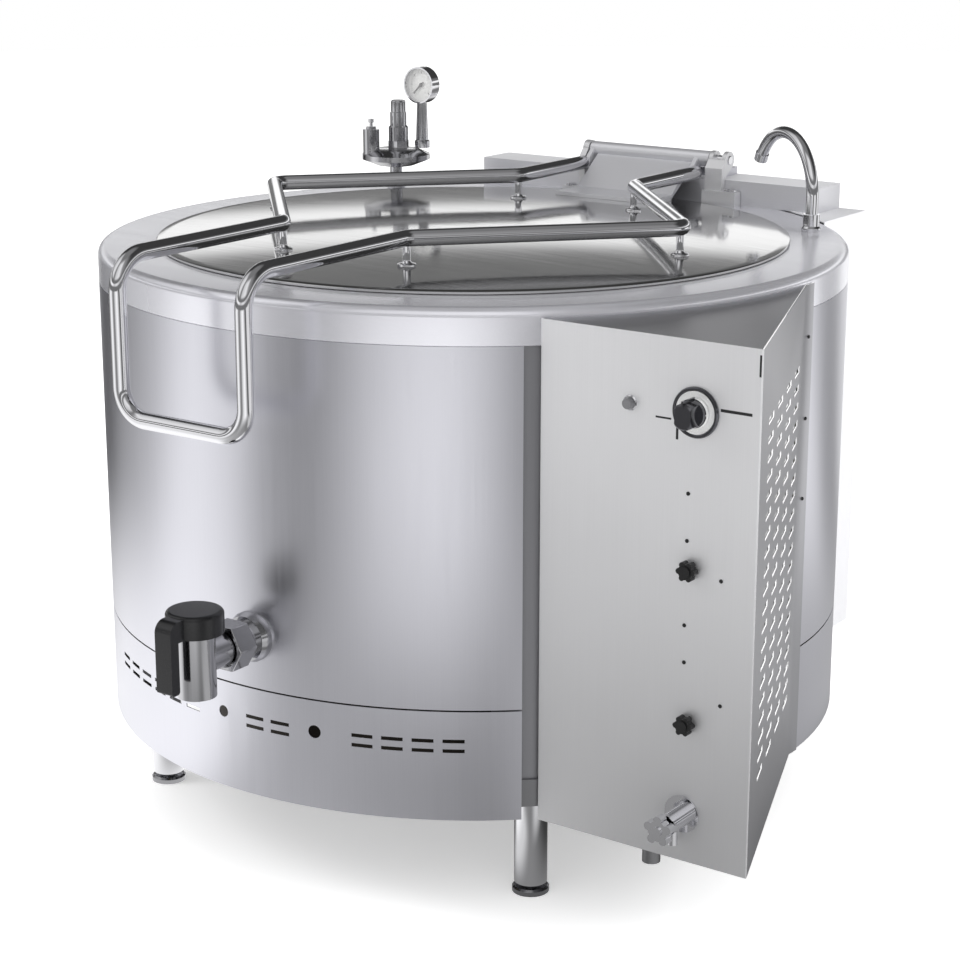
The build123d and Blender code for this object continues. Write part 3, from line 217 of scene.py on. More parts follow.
# %% [markdown]
# ## One finish for each kind of surface
# Every finish is named for what it is. Sheet steel differs by its grind: the casing is
# satin, the front panel nearly matt, the deck finer, and the lid almost a mirror
# because it was spun from bright-rolled sheet. A matt sheet scatters light, so many of
# these finishes are less than fully metallic, the rear housing most of all, which
# stands for that scatter.

# %% Sheet steel finishes
casing_steel = ground_steel("belt_ground_steel", "#DCDCE3", 0.30, 2.0, along=2)
# The front panel is painted darker towards the floor, as shade.
panel_steel = ground_steel("panel_ground_steel", "#EDEDEF", 0.40, 2.0, along=2,
                           metallic=0.72, floor_shade_tone=0.62)
bracket_steel = ground_steel("bracket_steel", "#E4E4E6", 0.38, 2.0, along=2,
                             metallic=0.75)
# The liner is tinted darker than the casing: painted shade for the inside seen through
# the slots.
shaded_liner_steel = ground_steel("shaded_liner_steel", "#98989C", 0.40, 2.0, along=2, metallic=0.85)
side_steel = ground_steel("side_ground_steel", "#C3C3C7", 0.36, 2.0, along=2)
# The pale finish of the rear housing, also used as a painted highlight on the top of
# the flue cover.
rear_and_lit_top_steel = ground_steel("blasted_steel_and_painted_top_highlight", "#F4F4F7", 0.50, 2.0, along=2,
                          metallic=0.45)
flue_steel = ground_steel("flue_ground_steel", "#DEDEE2", 0.32, 2.0, along=0,
                          metallic=0.66)
deck_steel = ground_steel("fine_ground_steel", "#E4E4EA", 0.23, 3.0, along=0,
                          metallic=0.72)
lid_steel = ground_steel("bright_rolled_lid_steel", "#CECECE", 0.09, 4.0, along=0)
inner_steel = ground_steel("vessel_steel", "#CBCBCF", 0.32, 3.0, along=2, metallic=0.6)
chamber_steel = ground_steel("heat_stained_steel", "#3C3834", 0.50, 3.0, along=2)
frame_steel = ground_steel("frame_steel", "#98989B", 0.42, 3.0, along=2)
tube_steel = polished_steel("polished_tube_steel", "#E2E2E5", 0.05)
chrome = polished_steel("chrome_plated_brass", "#DFDFE2", 0.07)
cock_chrome = polished_steel("satin_chrome_plate", "#B9B9BC", 0.10)
dark_chrome = polished_steel("black_chrome_plate", "#66666A", 0.12)
foot_steel = polished_steel("turned_foot_steel", "#9C9C9F", 0.16)
print("steels", len(bpy.data.materials))

# %% [markdown]
# ## Cast, moulded and painted surfaces
# Phenolic and nylon leave their mould with a fine grain, which softens each highlight.
# Cast iron keeps the coarse skin of the sand, machined brass and pressed aluminium have
# a satin shine, silicone rubber and mineral wool are matt, and stove enamel is smooth
# with a soft gloss. They differ only in colour, grain and roughness, so one recipe
# makes them all.

# %% Cast, moulded and painted finishes
bright_dish = plain_finish("pressed_bright_aluminium", "#F4F4F4", 0.25, 1.0,
                           metallic=0.5, depth=0.01, spread=0.03)
# White of the heat shield; also painted on the slot walls as a highlight.
shield_white_and_slot_highlight = plain_finish("white_heat_shield_and_slot_highlight", "#F6F6F6", 0.60, 1.0, depth=0.01,
                            spread=0.03)
pipe_steel = plain_finish("drawn_pipe_steel", "#8E8E90", 0.45, 2.0, metallic=1.0)
burner_iron = plain_finish("cast_iron", "#2B2A29", 0.70, 1.5, metallic=0.6, depth=0.3)
valve_brass = plain_finish("machined_brass", "#B08D4A", 0.30, 1.0, metallic=1.0)
black_cap = plain_finish("moulded_phenolic", "#141416", 0.24, 0.8, depth=0.03)
black_knob = plain_finish("moulded_nylon", "#111112", 0.38, 0.6, depth=0.04)
push_grey = plain_finish("moulded_grey_nylon", "#6C6C6F", 0.35, 0.6, depth=0.03)
gasket_rubber = plain_finish("silicone_rubber", "#C9C7C0", 0.55, 1.0)
mineral_wool = plain_finish("mineral_wool", "#B5A77E", 0.95, 3.0, depth=2.0,
                            spread=0.12)
dial_paint = plain_finish("dial_enamel", "#F8F8F6", 0.35, 1.0, depth=0.01, spread=0.02)
# Black ink for print; also the painted shade of a fastening slot on the panel.
ink_and_slot_shade = plain_finish("printing_ink_with_slot_shade", "#1B1B1D", 0.55, 0.8, depth=0.01)

# %% [markdown]
# ## Gauge glass
# The glass is a flat disc of 2.5 mm. Bent light through so thin a plate hardly shows,
# but it would keep lamp light off the dial, so the glass is made mostly see-through
# instead, with a glossy face that still catches reflections.

# %% Gauge glass
SEEN_SHARE = 0.15  # how much of the glass itself is seen
gauge_glass, tree = new_material("gauge_glass")
clear = add(tree, "ShaderNodeBsdfPrincipled", {
    "Base Color": (1, 1, 1, 1), "Roughness": 0.02, "IOR": 1.5, "Alpha": SEEN_SHARE})
finish_material(tree, clear)
print("materials", len(bpy.data.materials))


# %% [markdown]
# ## Meshes from formulas
# Three tools make every new shape. A turned piece is a profile carried round an axis. A
# bent tube is a circle carried along a route whose corners are arcs. A copy of a solid
# has its loose triangles joined, so that light rolls over its curves while real edges
# stay sharp.

# %% From arrays to a mesh
WELD = 1e-6  # corners closer than this, in metres, become one


def mesh_object(name, verts, quads, material):
    """Puts whole arrays of corners and quads in a mesh whose faces look outwards."""
    mesh = bpy.data.meshes.new(name)
    mesh.from_pydata(verts.reshape(-1, 3).tolist(), [], quads.reshape(-1, 4).tolist())
    mesh.materials.append(material)
    form = bmesh.new()
    form.from_mesh(mesh)
    bmesh.ops.remove_doubles(form, verts=form.verts, dist=WELD)
    bmesh.ops.recalc_face_normals(form, faces=form.faces)
    form.to_mesh(mesh)
    form.free()
    piece = bpy.data.objects.new(name, mesh)
    scene.collection.objects.link(piece)
    return piece


def crisp_edges(piece, angle=32.0):
    """Edges that turn by more than the angle stay sharp, and the rest is smooth."""
    form = bmesh.new()
    form.from_mesh(piece.data)
    for face in form.faces:
        face.smooth = True
    for edge in form.edges:
        edge.smooth = edge.calc_face_angle(0.0) < radians(angle)
    form.to_mesh(piece.data)
    form.free()


def grid_quads(rows, columns, wrap_rows):
    """Corner numbers of a grid's quads: its columns close, and its rows if asked."""
    r = np.arange(rows if wrap_rows else rows - 1)
    r, c = np.meshgrid(r, np.arange(columns), indexing="ij")
    r2 = (r + 1) % rows
    c2 = (c + 1) % columns
    return np.stack([r * columns + c, r * columns + c2,
                     r2 * columns + c2, r2 * columns + c], axis=-1)


# %% Turned pieces
def close_rims(piece):
    """Fills the open ends of a part turn and makes its faces look outwards."""
    form = bmesh.new()
    form.from_mesh(piece.data)
    bmesh.ops.holes_fill(form, edges=[edge for edge in form.edges if edge.is_boundary])
    bmesh.ops.recalc_face_normals(form, faces=form.faces)
    form.to_mesh(piece.data)
    form.free()


def turned(name, profile_mm, material, steps, centre=(0, 0), sweep=360.0):
    """P(t, a) = (r(t) cos a, r(t) sin a, z(t)): a closed profile turned round an axis.

    The axis is upright through the centre. A sweep of less than a turn gets ends."""
    profile = np.array(profile_mm, float) * MM
    full = sweep == 360.0
    angles = np.radians(np.linspace(0, sweep, steps, endpoint=not full))
    r, z = profile[:, 0], profile[:, 1]
    verts = np.stack([
        centre[0] * MM + np.outer(np.cos(angles), r),
        centre[1] * MM + np.outer(np.sin(angles), r),
        np.outer(np.ones_like(angles), z)], axis=-1)
    quads = grid_quads(len(angles), len(profile), wrap_rows=full)
    piece = mesh_object(name, verts, quads, material)
    if not full:
        close_rims(piece)
    crisp_edges(piece)
    return piece


# %% Bent tubes
BEND_STEPS = 14  # points in each bend
START_WAY = (0.3, 0.2, 0.93)  # any direction that no tube starts along
TUBE_EDGE = 40.0  # degrees; only the cut ends of a tube turn by more


def rounded_route(corners_mm, radii_mm):
    """Straight runs with a tangent arc of the given radius at each inner corner."""
    corners = np.array(corners_mm, float) * MM
    route = [corners[0]]
    for i, radius in enumerate(radii_mm):
        before, at, after = corners[i:i + 3]
        u = (before - at) / np.linalg.norm(before - at)
        v = (after - at) / np.linalg.norm(after - at)
        turn = pi - np.arccos(np.clip(u @ v, -1, 1))
        r = radius * MM
        reach = r * np.tan(turn / 2)
        middle = (u + v) / np.linalg.norm(u + v)
        centre = at + middle * np.hypot(r, reach)
        first = at + u * reach - centre
        side = (at + v * reach - centre) - first * np.cos(turn)
        side *= r / np.linalg.norm(side)
        t = np.linspace(0, turn, BEND_STEPS)[:, None]
        route.extend(centre + first * np.cos(t) + side * np.sin(t))
    route.append(corners[-1])
    return np.array(route)


def bent_tube(name, route, radius_mm, material, bore_mm, sides=48):
    """P(s, a) = route(s) + r (cos a n(s) + sin a b(s)), n and b carried untwisted.

    The bore is the same surface with a smaller r, run back to where the wall began."""
    tangent = np.gradient(route, axis=0)
    tangent /= np.linalg.norm(tangent, axis=1)[:, None]
    normal = np.zeros_like(route)
    normal[0] = np.cross(tangent[0], START_WAY)
    for i in range(len(route)):
        carried = normal[max(i - 1, 0)]
        carried = carried - tangent[i] * (carried @ tangent[i])
        normal[i] = carried / np.linalg.norm(carried)
    binormal = np.cross(tangent, normal)
    a = np.linspace(0, 2 * pi, sides, endpoint=False)[None, :, None]
    ring = np.cos(a) * normal[:, None] + np.sin(a) * binormal[:, None]
    outside = route[:, None] + ring * radius_mm * MM
    inside = (route[:, None] + ring * bore_mm * MM)[::-1]
    verts = np.concatenate([outside, inside])
    quads = grid_quads(len(verts), sides, wrap_rows=True)
    piece = mesh_object(name, verts, quads, material)
    crisp_edges(piece, TUBE_EDGE)
    return piece


# %% Flat bars
def flat_bars(name, corners_mm, y_mm, thick_mm, material):
    """Bars on a face that looks to the front: each row holds four (x, z) corners."""
    corners = np.array(corners_mm, float)
    verts = np.empty((len(corners), 2, 4, 3))
    verts[..., 0] = corners[:, None, :, 0]
    verts[..., 1] = np.array([y_mm - thick_mm, y_mm])[None, :, None]
    verts[..., 2] = corners[:, None, :, 1]
    bar = np.array([[0, 1, 2, 3], [7, 6, 5, 4], [0, 4, 5, 1],
                    [1, 5, 6, 2], [2, 6, 7, 3], [3, 7, 4, 0]])
    quads = bar[None] + 8 * np.arange(len(corners))[:, None, None]
    return mesh_object(name, verts * MM, quads, material)


# %% [markdown]
# ## Solids with a better surface
# Most fittings already have their true shape as solids. Their meshes are loose
# triangles, which would show as facets, so each is copied and its corners are joined.
# Faces that meet at a small angle are shaded as one curve, and a narrow bevel breaks
# the real edges: a sharp edge with no bevel catches no light and looks drawn.

# %% Dressing a solid
SOLID_WELD = 2e-6
CURVE_ANGLE, BEVEL_ANGLE = 28.0, 33.0  # degrees between faces


def dressed(node, name, material, edge_mm):
    """Copy of a solid: triangles joined, curves smooth and edges eased by edge_mm."""
    mesh = nodes[node].data.copy()
    mesh.name = name
    piece = bpy.data.objects.new(name, mesh)
    scene.collection.objects.link(piece)
    form = bmesh.new()
    form.from_mesh(mesh)
    bmesh.ops.remove_doubles(form, verts=form.verts, dist=SOLID_WELD)
    form.to_mesh(mesh)
    form.free()
    mesh.materials.clear()
    mesh.materials.append(material)
    mesh.polygons.foreach_set("material_index", np.zeros(len(mesh.polygons), np.int32))
    if "custom_normal" in mesh.attributes:
        mesh.attributes.remove(mesh.attributes["custom_normal"])
    crisp_edges(piece, CURVE_ANGLE)
    if edge_mm:
        bevel = piece.modifiers.new("eased_edges", "BEVEL")
        bevel.width = edge_mm * MM
        bevel.segments = 2
        bevel.limit_method = "ANGLE"
        bevel.angle_limit = radians(BEVEL_ANGLE)
        bevel.harden_normals = False
    return piece


# %% A second finish on chosen faces
def face_arrays(piece):
    """Centres and normals of all faces, one row each."""
    faces = piece.data.polygons
    centres = np.array([face.center for face in faces])
    normals = np.array([face.normal for face in faces])
    return centres, normals


def second_finish(piece, finish, chosen):
    """Gives the chosen faces the second finish and prints how many there are."""
    piece.data.materials.append(finish)
    piece.data.polygons.foreach_set("material_index", chosen.astype(np.int32))
    print(piece.name, "faces in", finish.name, int(chosen.sum()))


# %% Placing a piece
def fit(piece, body, slot, *replaced):
    """The piece rides on its body and stands for the named solids; slot is not used."""
    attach(piece, body)
    if replaced:
        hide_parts(*replaced)
    return piece


def clad(node, name, material, body, slot, edge_mm=0.0):
    """A dressed copy of a solid, fitted in the solid's place."""
    return fit(dressed(node, name, material, edge_mm), body, slot, node)


def tell(title, *pieces):
    """Prints how many faces a step made and the size that they fill."""
    corners = np.array([corner for piece in pieces for corner in piece.bound_box]) / MM
    size = corners.max(axis=0) - corners.min(axis=0)
    faces = sum(len(piece.data.polygons) for piece in pieces)
    width, depth, height = size.round()
    print(f"{title}: {len(pieces)} pieces, {faces} faces,",
          f"{width:.0f} x {depth:.0f} x {height:.0f} mm")


# %% [markdown]
# ## The camera
# The camera stands four metres from the foot of the kettle, at the height of a
# standing person's eyes. It has a long lens, 86 mm on a 36 mm sensor, which keeps the
# upright lines nearly parallel, and it looks down by about 16 degrees.

# %% Camera
camera_data = bpy.data.cameras.new("camera")
camera_data.lens = 86.45
camera_data.sensor_width = 36.0
camera_data.clip_end = 100
camera = bpy.data.objects.new("camera", camera_data)
camera.location = (2.150, -3.003, 1.5256)
camera.rotation_euler = (radians(74.433), 0.0, radians(35.44))
scene.collection.objects.link(camera)
scene.camera = camera
print("camera", camera_data.lens, "mm lens,", camera.location.length, "m away")


# %% [markdown]
# ## The studio
# The kettle stands on a white floor. Metal has no colour of its own to speak of: it
# shows what stands round it, so a studio for metal is mostly panels, some white and
# some black, that a reflected ray meets. Here they are grey levels painted round a
# compass on the floor and on the walls. Rays of the camera see plain white, and so do
# rays that light matt things.

# %% Levels round the compass
def compass(tree, east, north):
    """Angle round the kettle in turns: 0.5 at the front, more towards the right."""
    south = add(tree, "ShaderNodeMath", {0: north, 1: -1.0}, operation="MULTIPLY")
    angle = add(tree, "ShaderNodeMath", {
        0: east, 1: south.outputs[0]}, operation="ARCTAN2")
    turns = add(tree, "ShaderNodeMath", {
        0: angle.outputs[0], 1: 1 / (2 * pi)}, operation="MULTIPLY")
    return add(tree, "ShaderNodeMath", {0: turns.outputs[0], 1: 0.5}, operation="ADD")


def tone_ring(tree, turns, stops):
    """Grey levels round the kettle, from stops of degrees from the front and level."""
    ramp = add(tree, "ShaderNodeValToRGB", {"Fac": turns.outputs[0]})
    ramp.color_ramp.interpolation = "EASE"
    elements = ramp.color_ramp.elements
    elements.remove(elements[-1])
    for i, (degrees, level) in enumerate(stops):
        spot = elements[0] if i == 0 else elements.new(degrees / 360 + 0.5)
        spot.color = (level, level, level, 1)
    return ramp


# Degrees from the front and linear level, for the far floor, the near floor, the floor
# by the legs, the wall and the ceiling.
FAR_TONES = [(-180, 1.05), (-168, 1.05), (-160, 0.04), (-142, 0.04), (-134, 0.95),
             (-122, 0.80), (-113, 0.05), (-98, 0.05), (-88, 0.34), (-72, 0.50),
             (-50, 1.22), (-34, 0.98), (-22, 0.34), (-8, 0.26), (2, 0.60), (12, 0.98),
             (28, 1.20), (40, 0.85), (48, 0.35), (60, 0.08), (72, 0.90), (100, 0.90),
             (108, 0.08), (122, 0.08), (132, 1.10), (150, 1.20), (158, 0.20),
             (170, 0.30), (180, 1.05)]
# Near the kettle and by its legs the floor tones are darker in places: the kettle's
# shadow, painted in for the metal to see.
NEAR_TONES = [(-180, 0.45), (-110, 0.60), (-70, 1.20), (-32, 1.30), (-14, 0.58),
              (-4, 0.46), (20, 0.34), (40, 0.26), (54, 0.70), (74, 0.70), (90, 0.40),
              (140, 0.50), (180, 0.45)]
LEG_TONES = [(-180, 0.30), (-90, 0.60), (-49, 1.20), (-25, 0.50), (-8, 0.90),
             (10, 1.25), (26, 0.80), (41, 0.28), (75, 0.05), (120, 0.20), (180, 0.30)]
WALL_TONES = [(-180, 1.25), (-152, 1.25), (-140, 1.20), (-120, 1.20), (-90, 0.90),
              (-60, 1.10), (-30, 1.15), (0, 0.70), (30, 0.95), (70, 0.60), (110, 0.90),
              (150, 1.25), (180, 1.25)]
CEILING_TONES = [(-180, 0.05), (-110, 0.05), (-80, 0.70), (-50, 0.95), (-20, 0.25),
                 (5, 0.80), (40, 0.95), (70, 0.30), (110, 0.05), (180, 0.05)]
print("levels", len(FAR_TONES + NEAR_TONES + LEG_TONES + WALL_TONES + CEILING_TONES))


# %% Blending levels
LOW_SOCKET, HIGH_SOCKET, COLOUR_OUT = 6, 7, 2  # of a Mix node, whose names repeat


def blend_tones(tree, low, high, factor):
    """One colour that goes from low to high as the factor goes from 0 to 1."""
    mix = add(tree, "ShaderNodeMix", {
        "Factor": factor, LOW_SOCKET: low, HIGH_SOCKET: high}, data_type="RGBA")
    return mix.outputs[COLOUR_OUT]


def ease(tree, value, start, stop):
    """0 below start, 1 above stop and a smooth step between."""
    step = add(tree, "ShaderNodeMapRange", {
        "Value": value, "From Min": start, "From Max": stop},
        interpolation_type="SMOOTHSTEP")
    return step.outputs[0]


def grey(level):
    """The colour of one linear level."""
    return (level, level, level, 1)


# %% Walls and ceiling
# A dark skirting, a bright strip of wall, a dark lintel and a dim ceiling: the dome of
# the lid shows all four. Each pair is the height, as the sine of its angle, over which
# one takes over from the one below.
SKIRTING, LINTEL, CROWN = 0.20, 0.20, 0.22
WALL_FROM, LINTEL_FROM = (0.085, 0.125), (0.197, 0.222)
CEILING_FROM, CROWN_FROM = (0.30, 0.42), (0.82, 0.96)
world = bpy.data.worlds.new("studio")
scene.world = world
world.use_nodes = True
tree = world.node_tree
tree.nodes.clear()
look = add(tree, "ShaderNodeTexCoord")
parts = add(tree, "ShaderNodeSeparateXYZ", {"Vector": look.outputs["Generated"]})
turns = compass(tree, parts.outputs[0], parts.outputs[1])
wall = tone_ring(tree, turns, WALL_TONES)
ceiling = tone_ring(tree, turns, CEILING_TONES)
rise = parts.outputs[2]
strip = blend_tones(tree, grey(SKIRTING), wall.outputs[0], ease(tree, rise, *WALL_FROM))
lintel = blend_tones(tree, strip, grey(LINTEL), ease(tree, rise, *LINTEL_FROM))
upper = blend_tones(tree, lintel, ceiling.outputs[0], ease(tree, rise, *CEILING_FROM))
crown_tone = blend_tones(tree, upper, grey(CROWN), ease(tree, rise, *CROWN_FROM))
rays = add(tree, "ShaderNodeLightPath")
seen = blend_tones(tree, grey(1.0), crown_tone, rays.outputs["Is Glossy Ray"])
sky = add(tree, "ShaderNodeBackground", {"Color": seen, "Strength": 1.0})
add(tree, "ShaderNodeOutputWorld", {"Surface": sky.outputs[0]})
print("wall nodes", len(tree.nodes))

# %% Floor
# Each pair is the distance from the middle, in metres, over which one level takes over.
# Under the kettle the floor that metal sees is dark: a painted shadow of the kettle.
SHADOW_UNDER_KETTLE = 0.10
LEGS_FROM, NEAR_FROM, FAR_FROM = (0.30, 0.50), (0.70, 0.84), (1.2, 2.5)
FLOOR_WHITE, FLOOR_GLOW, FLOOR_RADIUS = 0.97, 0.40, 14
floor_material, tree = new_material("studio_floor")
place = add(tree, "ShaderNodeTexCoord")
parts = add(tree, "ShaderNodeSeparateXYZ", {"Vector": place.outputs["Object"]})
turns = compass(tree, parts.outputs[0], parts.outputs[1])
away = add(tree, "ShaderNodeVectorMath", {
    0: place.outputs["Object"]}, operation="LENGTH")
distance = away.outputs["Value"]
far = tone_ring(tree, turns, FAR_TONES)
near = tone_ring(tree, turns, NEAR_TONES)
by_legs = tone_ring(tree, turns, LEG_TONES)
outer = blend_tones(
    tree, near.outputs[0], far.outputs[0], ease(tree, distance, *FAR_FROM))
inner = blend_tones(
    tree, grey(SHADOW_UNDER_KETTLE), by_legs.outputs[0], ease(tree, distance, *LEGS_FROM))
ring = blend_tones(tree, inner, outer, ease(tree, distance, *NEAR_FROM))
mirror_tone = add(tree, "ShaderNodeEmission", {"Color": ring, "Strength": 1.0})
chalk = add(tree, "ShaderNodeBsdfDiffuse", {"Color": grey(FLOOR_WHITE)})
lift = add(tree, "ShaderNodeEmission", {"Color": grey(1.0), "Strength": FLOOR_GLOW})
pale = add(tree, "ShaderNodeAddShader", {0: chalk.outputs[0], 1: lift.outputs[0]})
rays = add(tree, "ShaderNodeLightPath")
both = add(tree, "ShaderNodeMixShader", {
    0: rays.outputs["Is Glossy Ray"], 1: pale.outputs[0], 2: mirror_tone.outputs[0]})
finish_material(tree, both)

bpy.ops.mesh.primitive_circle_add(
    vertices=96, radius=FLOOR_RADIUS, fill_type="NGON", location=(0, 0, 0))
floor = bpy.context.object
floor.name = "studio_floor"
floor.data.materials.append(floor_material)
print("floor radius", FLOOR_RADIUS, "m,", len(tree.nodes), "nodes")


# %% Lamps
def soft_lamp(name, place, target, size, watts):
    """A square area lamp that faces the target and isn't seen in the metal."""
    data = bpy.data.lights.new(name, "AREA")
    data.size = size
    data.energy = watts
    lamp = bpy.data.objects.new(name, data)
    lamp.location = place
    way = Vector(target) - Vector(place)
    lamp.rotation_euler = way.to_track_quat("-Z", "Y").to_euler()
    lamp.visible_glossy = False
    scene.collection.objects.link(lamp)


soft_lamp("key_left", (-3.2, -2.6, 3.2), target=(0, 0, 0.6), size=1.6, watts=45)
soft_lamp("rim_right", (3.6, 0.6, 2.2), target=(0.6, -0.2, 0.6), size=1.8, watts=60)
print("lamps", len(bpy.data.lights))


# %% [markdown]
# ## Round casing
# The casing is two bands of sheet rolled to a radius of 600 mm, with a narrow joint
# between them and an opening towards the control box. A cylinder primitive would do for
# the shape, but a turned profile also gives the sheet its thickness and its broken
# edges, with an even curve: in polished metal the eye sees the smallest flat. The lower
# band is slotted, so it keeps the mesh of its solid.

# %% Casing bands
ROLLED_ARC = 312.2  # degrees of sheet; the rest is open towards the control box
CASING_R, CASING_SHEET, CASING_FOOT, CASING_TOP = 600, 1.5, 320, 853.4
FOOT_BREAK, TOP_BREAK = 0.6, 0.2
upper_profile = [
    (CASING_R - CASING_SHEET, CASING_FOOT), (CASING_R, CASING_FOOT + FOOT_BREAK),
    (CASING_R, CASING_TOP - TOP_BREAK), (CASING_R - CASING_SHEET, CASING_TOP)]
band = turned("casing_band", upper_profile, casing_steel, sweep=ROLLED_ARC, steps=420)
fit(band, "kettle", "casing_steel", "upper_skin")
skirt = clad("lower_skirt", "skirt_band", casing_steel, "kettle", "casing_steel")
liner = clad("body_liner", "liner_sheet", shaded_liner_steel, "kettle", "casing_steel")
tell("casing", band, skirt, liner)


# %% [markdown]
# ## Deck ring
# The deck is one ring of sheet, flat round the mouth and rolled over at its outer edge,
# where it comes down over the casing. The roll has a radius of 14 mm. The profile is an
# arc outside and a smaller arc inside, so the sheet keeps its thickness round the bend.

# %% Deck ring
def arc_points(cx, cz, radius, start, stop, steps):
    """Points of an arc in a profile, angles in degrees from the radius direction."""
    t = np.radians(np.linspace(start, stop, steps))
    return list(zip(cx + radius * np.cos(t), cz + radius * np.sin(t)))


MOUTH_R, DECK_Z, LAP_Z, DECK_SHEET, ROLL_R = 500, 907, 853.5, 2.5, 14
MOUTH_BREAK, LAP_BREAK = 0.6, 0.5
roll_at = (CASING_R - ROLL_R, DECK_Z - ROLL_R)
deck_profile = [
    (MOUTH_R, DECK_Z - DECK_SHEET), (MOUTH_R, DECK_Z - MOUTH_BREAK),
    (MOUTH_R + MOUTH_BREAK, DECK_Z),
    *arc_points(*roll_at, ROLL_R, start=90, stop=0, steps=14),
    (CASING_R, LAP_Z + LAP_BREAK), (CASING_R - LAP_BREAK, LAP_Z),
    (CASING_R - DECK_SHEET, LAP_Z),
    *arc_points(*roll_at, ROLL_R - DECK_SHEET, start=0, stop=90, steps=8)]
deck = turned("deck", deck_profile, deck_steel, steps=360)
fit(deck, "kettle", "polished_steel", "deck_ring")
tell("deck", deck)

# %% [markdown]
# ## Rear housing and flue
# Behind the vessel stand a tall folded housing and a low box over the flue. They are
# bead blasted or ground coarsely, because nobody looks at them, so they are paler and
# duller than the casing. Folded sheet always has a small radius at its edges, which the
# bevel gives.

# %% Rear housing and flue
LEANING = 0.5  # cosine of 60 degrees: it tells level faces from upright ones
rear = clad("rear_housing", "rear_casing", rear_and_lit_top_steel,
            "kettle", "casing_steel", edge_mm=0.8)
flue = clad("flue_box", "flue_cover", flue_steel, "kettle", "casing_steel", edge_mm=0.6)
# The level faces of the flue cover take the paler finish of the housing: a painted
# highlight on its top.
second_finish(flue, rear_and_lit_top_steel, abs(face_arrays(flue)[1][:, 2]) > LEANING)
outlet = clad("flue_grille", "flue_outlet", casing_steel,
              "kettle", "casing_steel", edge_mm=0.4)
tell("rear", rear, flue, outlet)

# %% [markdown]
# ## Control box
# The box has a flat front panel, a side panel with rows of punched cooling slots, and a
# folded chassis between them. A white heat shield close behind the slots and the slot
# walls, painted white as a highlight, make the slots shine. The shield is part of the
# chassis, so its faces are picked out by height and direction, and take a second
# material.

# %% Control box
SHIELD_LOW, SHIELD_HIGH = 0.153, 0.889  # metres above the floor
panel = clad("front_panel", "control_panel", panel_steel, "kettle", "casing_steel")
side = clad("side_panel", "slotted_side", side_steel, "kettle", "casing_steel",
            edge_mm=0.7)
chassis = clad("box_chassis", "box_inner_sheet", side_steel, "kettle", "casing_steel")
centres, normals = face_arrays(chassis)
heights = centres[:, 2]
shield = abs(normals[:, 2]) < LEANING
shield &= (heights > SHIELD_LOW) & (heights < SHIELD_HIGH)
second_finish(chassis, shield_white_and_slot_highlight, shield)

# The walls of each slot, which are the faces across the sheet, are painted white:
# a painted highlight for light through the slots.
normals = face_arrays(side)[1]
sheet_way = normals[np.argmax([face.area for face in side.data.polygons])]
second_finish(side, shield_white_and_slot_highlight, abs(normals @ sheet_way) < LEANING)
tell("control box", panel, side, chassis)


# %% [markdown]
# ## Lid
# The lid is spun from one disc: a very flat dome with a turned-down rim. A flattened
# sphere would be too round at the edge. The true curve is a shallow cap of a sphere
# with a radius of more than nine metres, so the height is worked out from that circle
# at each radius.

# %% Lid
LID_CROWN, LID_TOP, LID_SHEET = 9187.0, 926.0, 2.0


def dome_z(r, top=LID_TOP):
    """Height of the spun dome: the crown circle's height below its top at radius r."""
    return top + np.sqrt(LID_CROWN ** 2 - np.asarray(r, float) ** 2) - LID_CROWN


outer_r = np.linspace(1, 506, 40)
inner_r = np.linspace(504, 1, 40)
# Radius and height of the corners of the turned-down rim.
rim = [(506.8, dome_z(507) - 0.3), (507.2, 911.2), (507.2, 908.3), (506.9, 908.0),
       (505, 908.0), (505, 909.8)]
under_z = dome_z(inner_r, LID_TOP - LID_SHEET)
lid_profile = [*zip(outer_r, dome_z(outer_r)), *rim, *zip(inner_r, under_z)]
lid = turned("lid_dome", lid_profile, lid_steel, steps=360)
fit(lid, "lid", "polished_steel", "lid")
seal = clad("lid_gasket", "lid_seal", gasket_rubber, "lid", "gasket_rubber")
tell("lid", lid, seal)

# %% [markdown]
# ## Lid rail
# The rail is one stainless tube of 25 mm with ten bends. It runs forward from the
# hinge, swings out over the dome and back, and hangs over the front edge as a loop for
# the hands. A pipe bender makes true arcs between straight runs, so the route is built
# the same way, and a circle is carried along it without twisting.

# %% Lid rail
RAIL_X, RAIL_Z, LOOP_Y, LOOP_Z = 117, 960, -697, 730
RAIL_R, RAIL_BORE = 12.5, 10.5
half_rail = [(RAIL_X, 505, RAIL_Z), (RAIL_X, 300, RAIL_Z), (405, -18, RAIL_Z),
             (RAIL_X, -335, RAIL_Z), (RAIL_X, LOOP_Y, RAIL_Z), (RAIL_X, LOOP_Y, LOOP_Z)]
half_bends = [30, 25, 30, 50, 45]
rail_route = rounded_route(half_rail + [(-x, y, z) for x, y, z in half_rail[::-1]],
                           half_bends + half_bends[::-1])
rail = bent_tube("lid_rail", rail_route, RAIL_R, tube_steel, RAIL_BORE, sides=56)
fit(rail, "lid", "chrome_steel", "lid_handle")
tell("rail", rail)

# %% [markdown]
# ## Rail posts
# Six turned posts carry the rail. Each has a round foot on the dome, a small collar and
# a thin shaft, and each foot stands at the dome's own height at that place. One profile
# and one loop make them all.

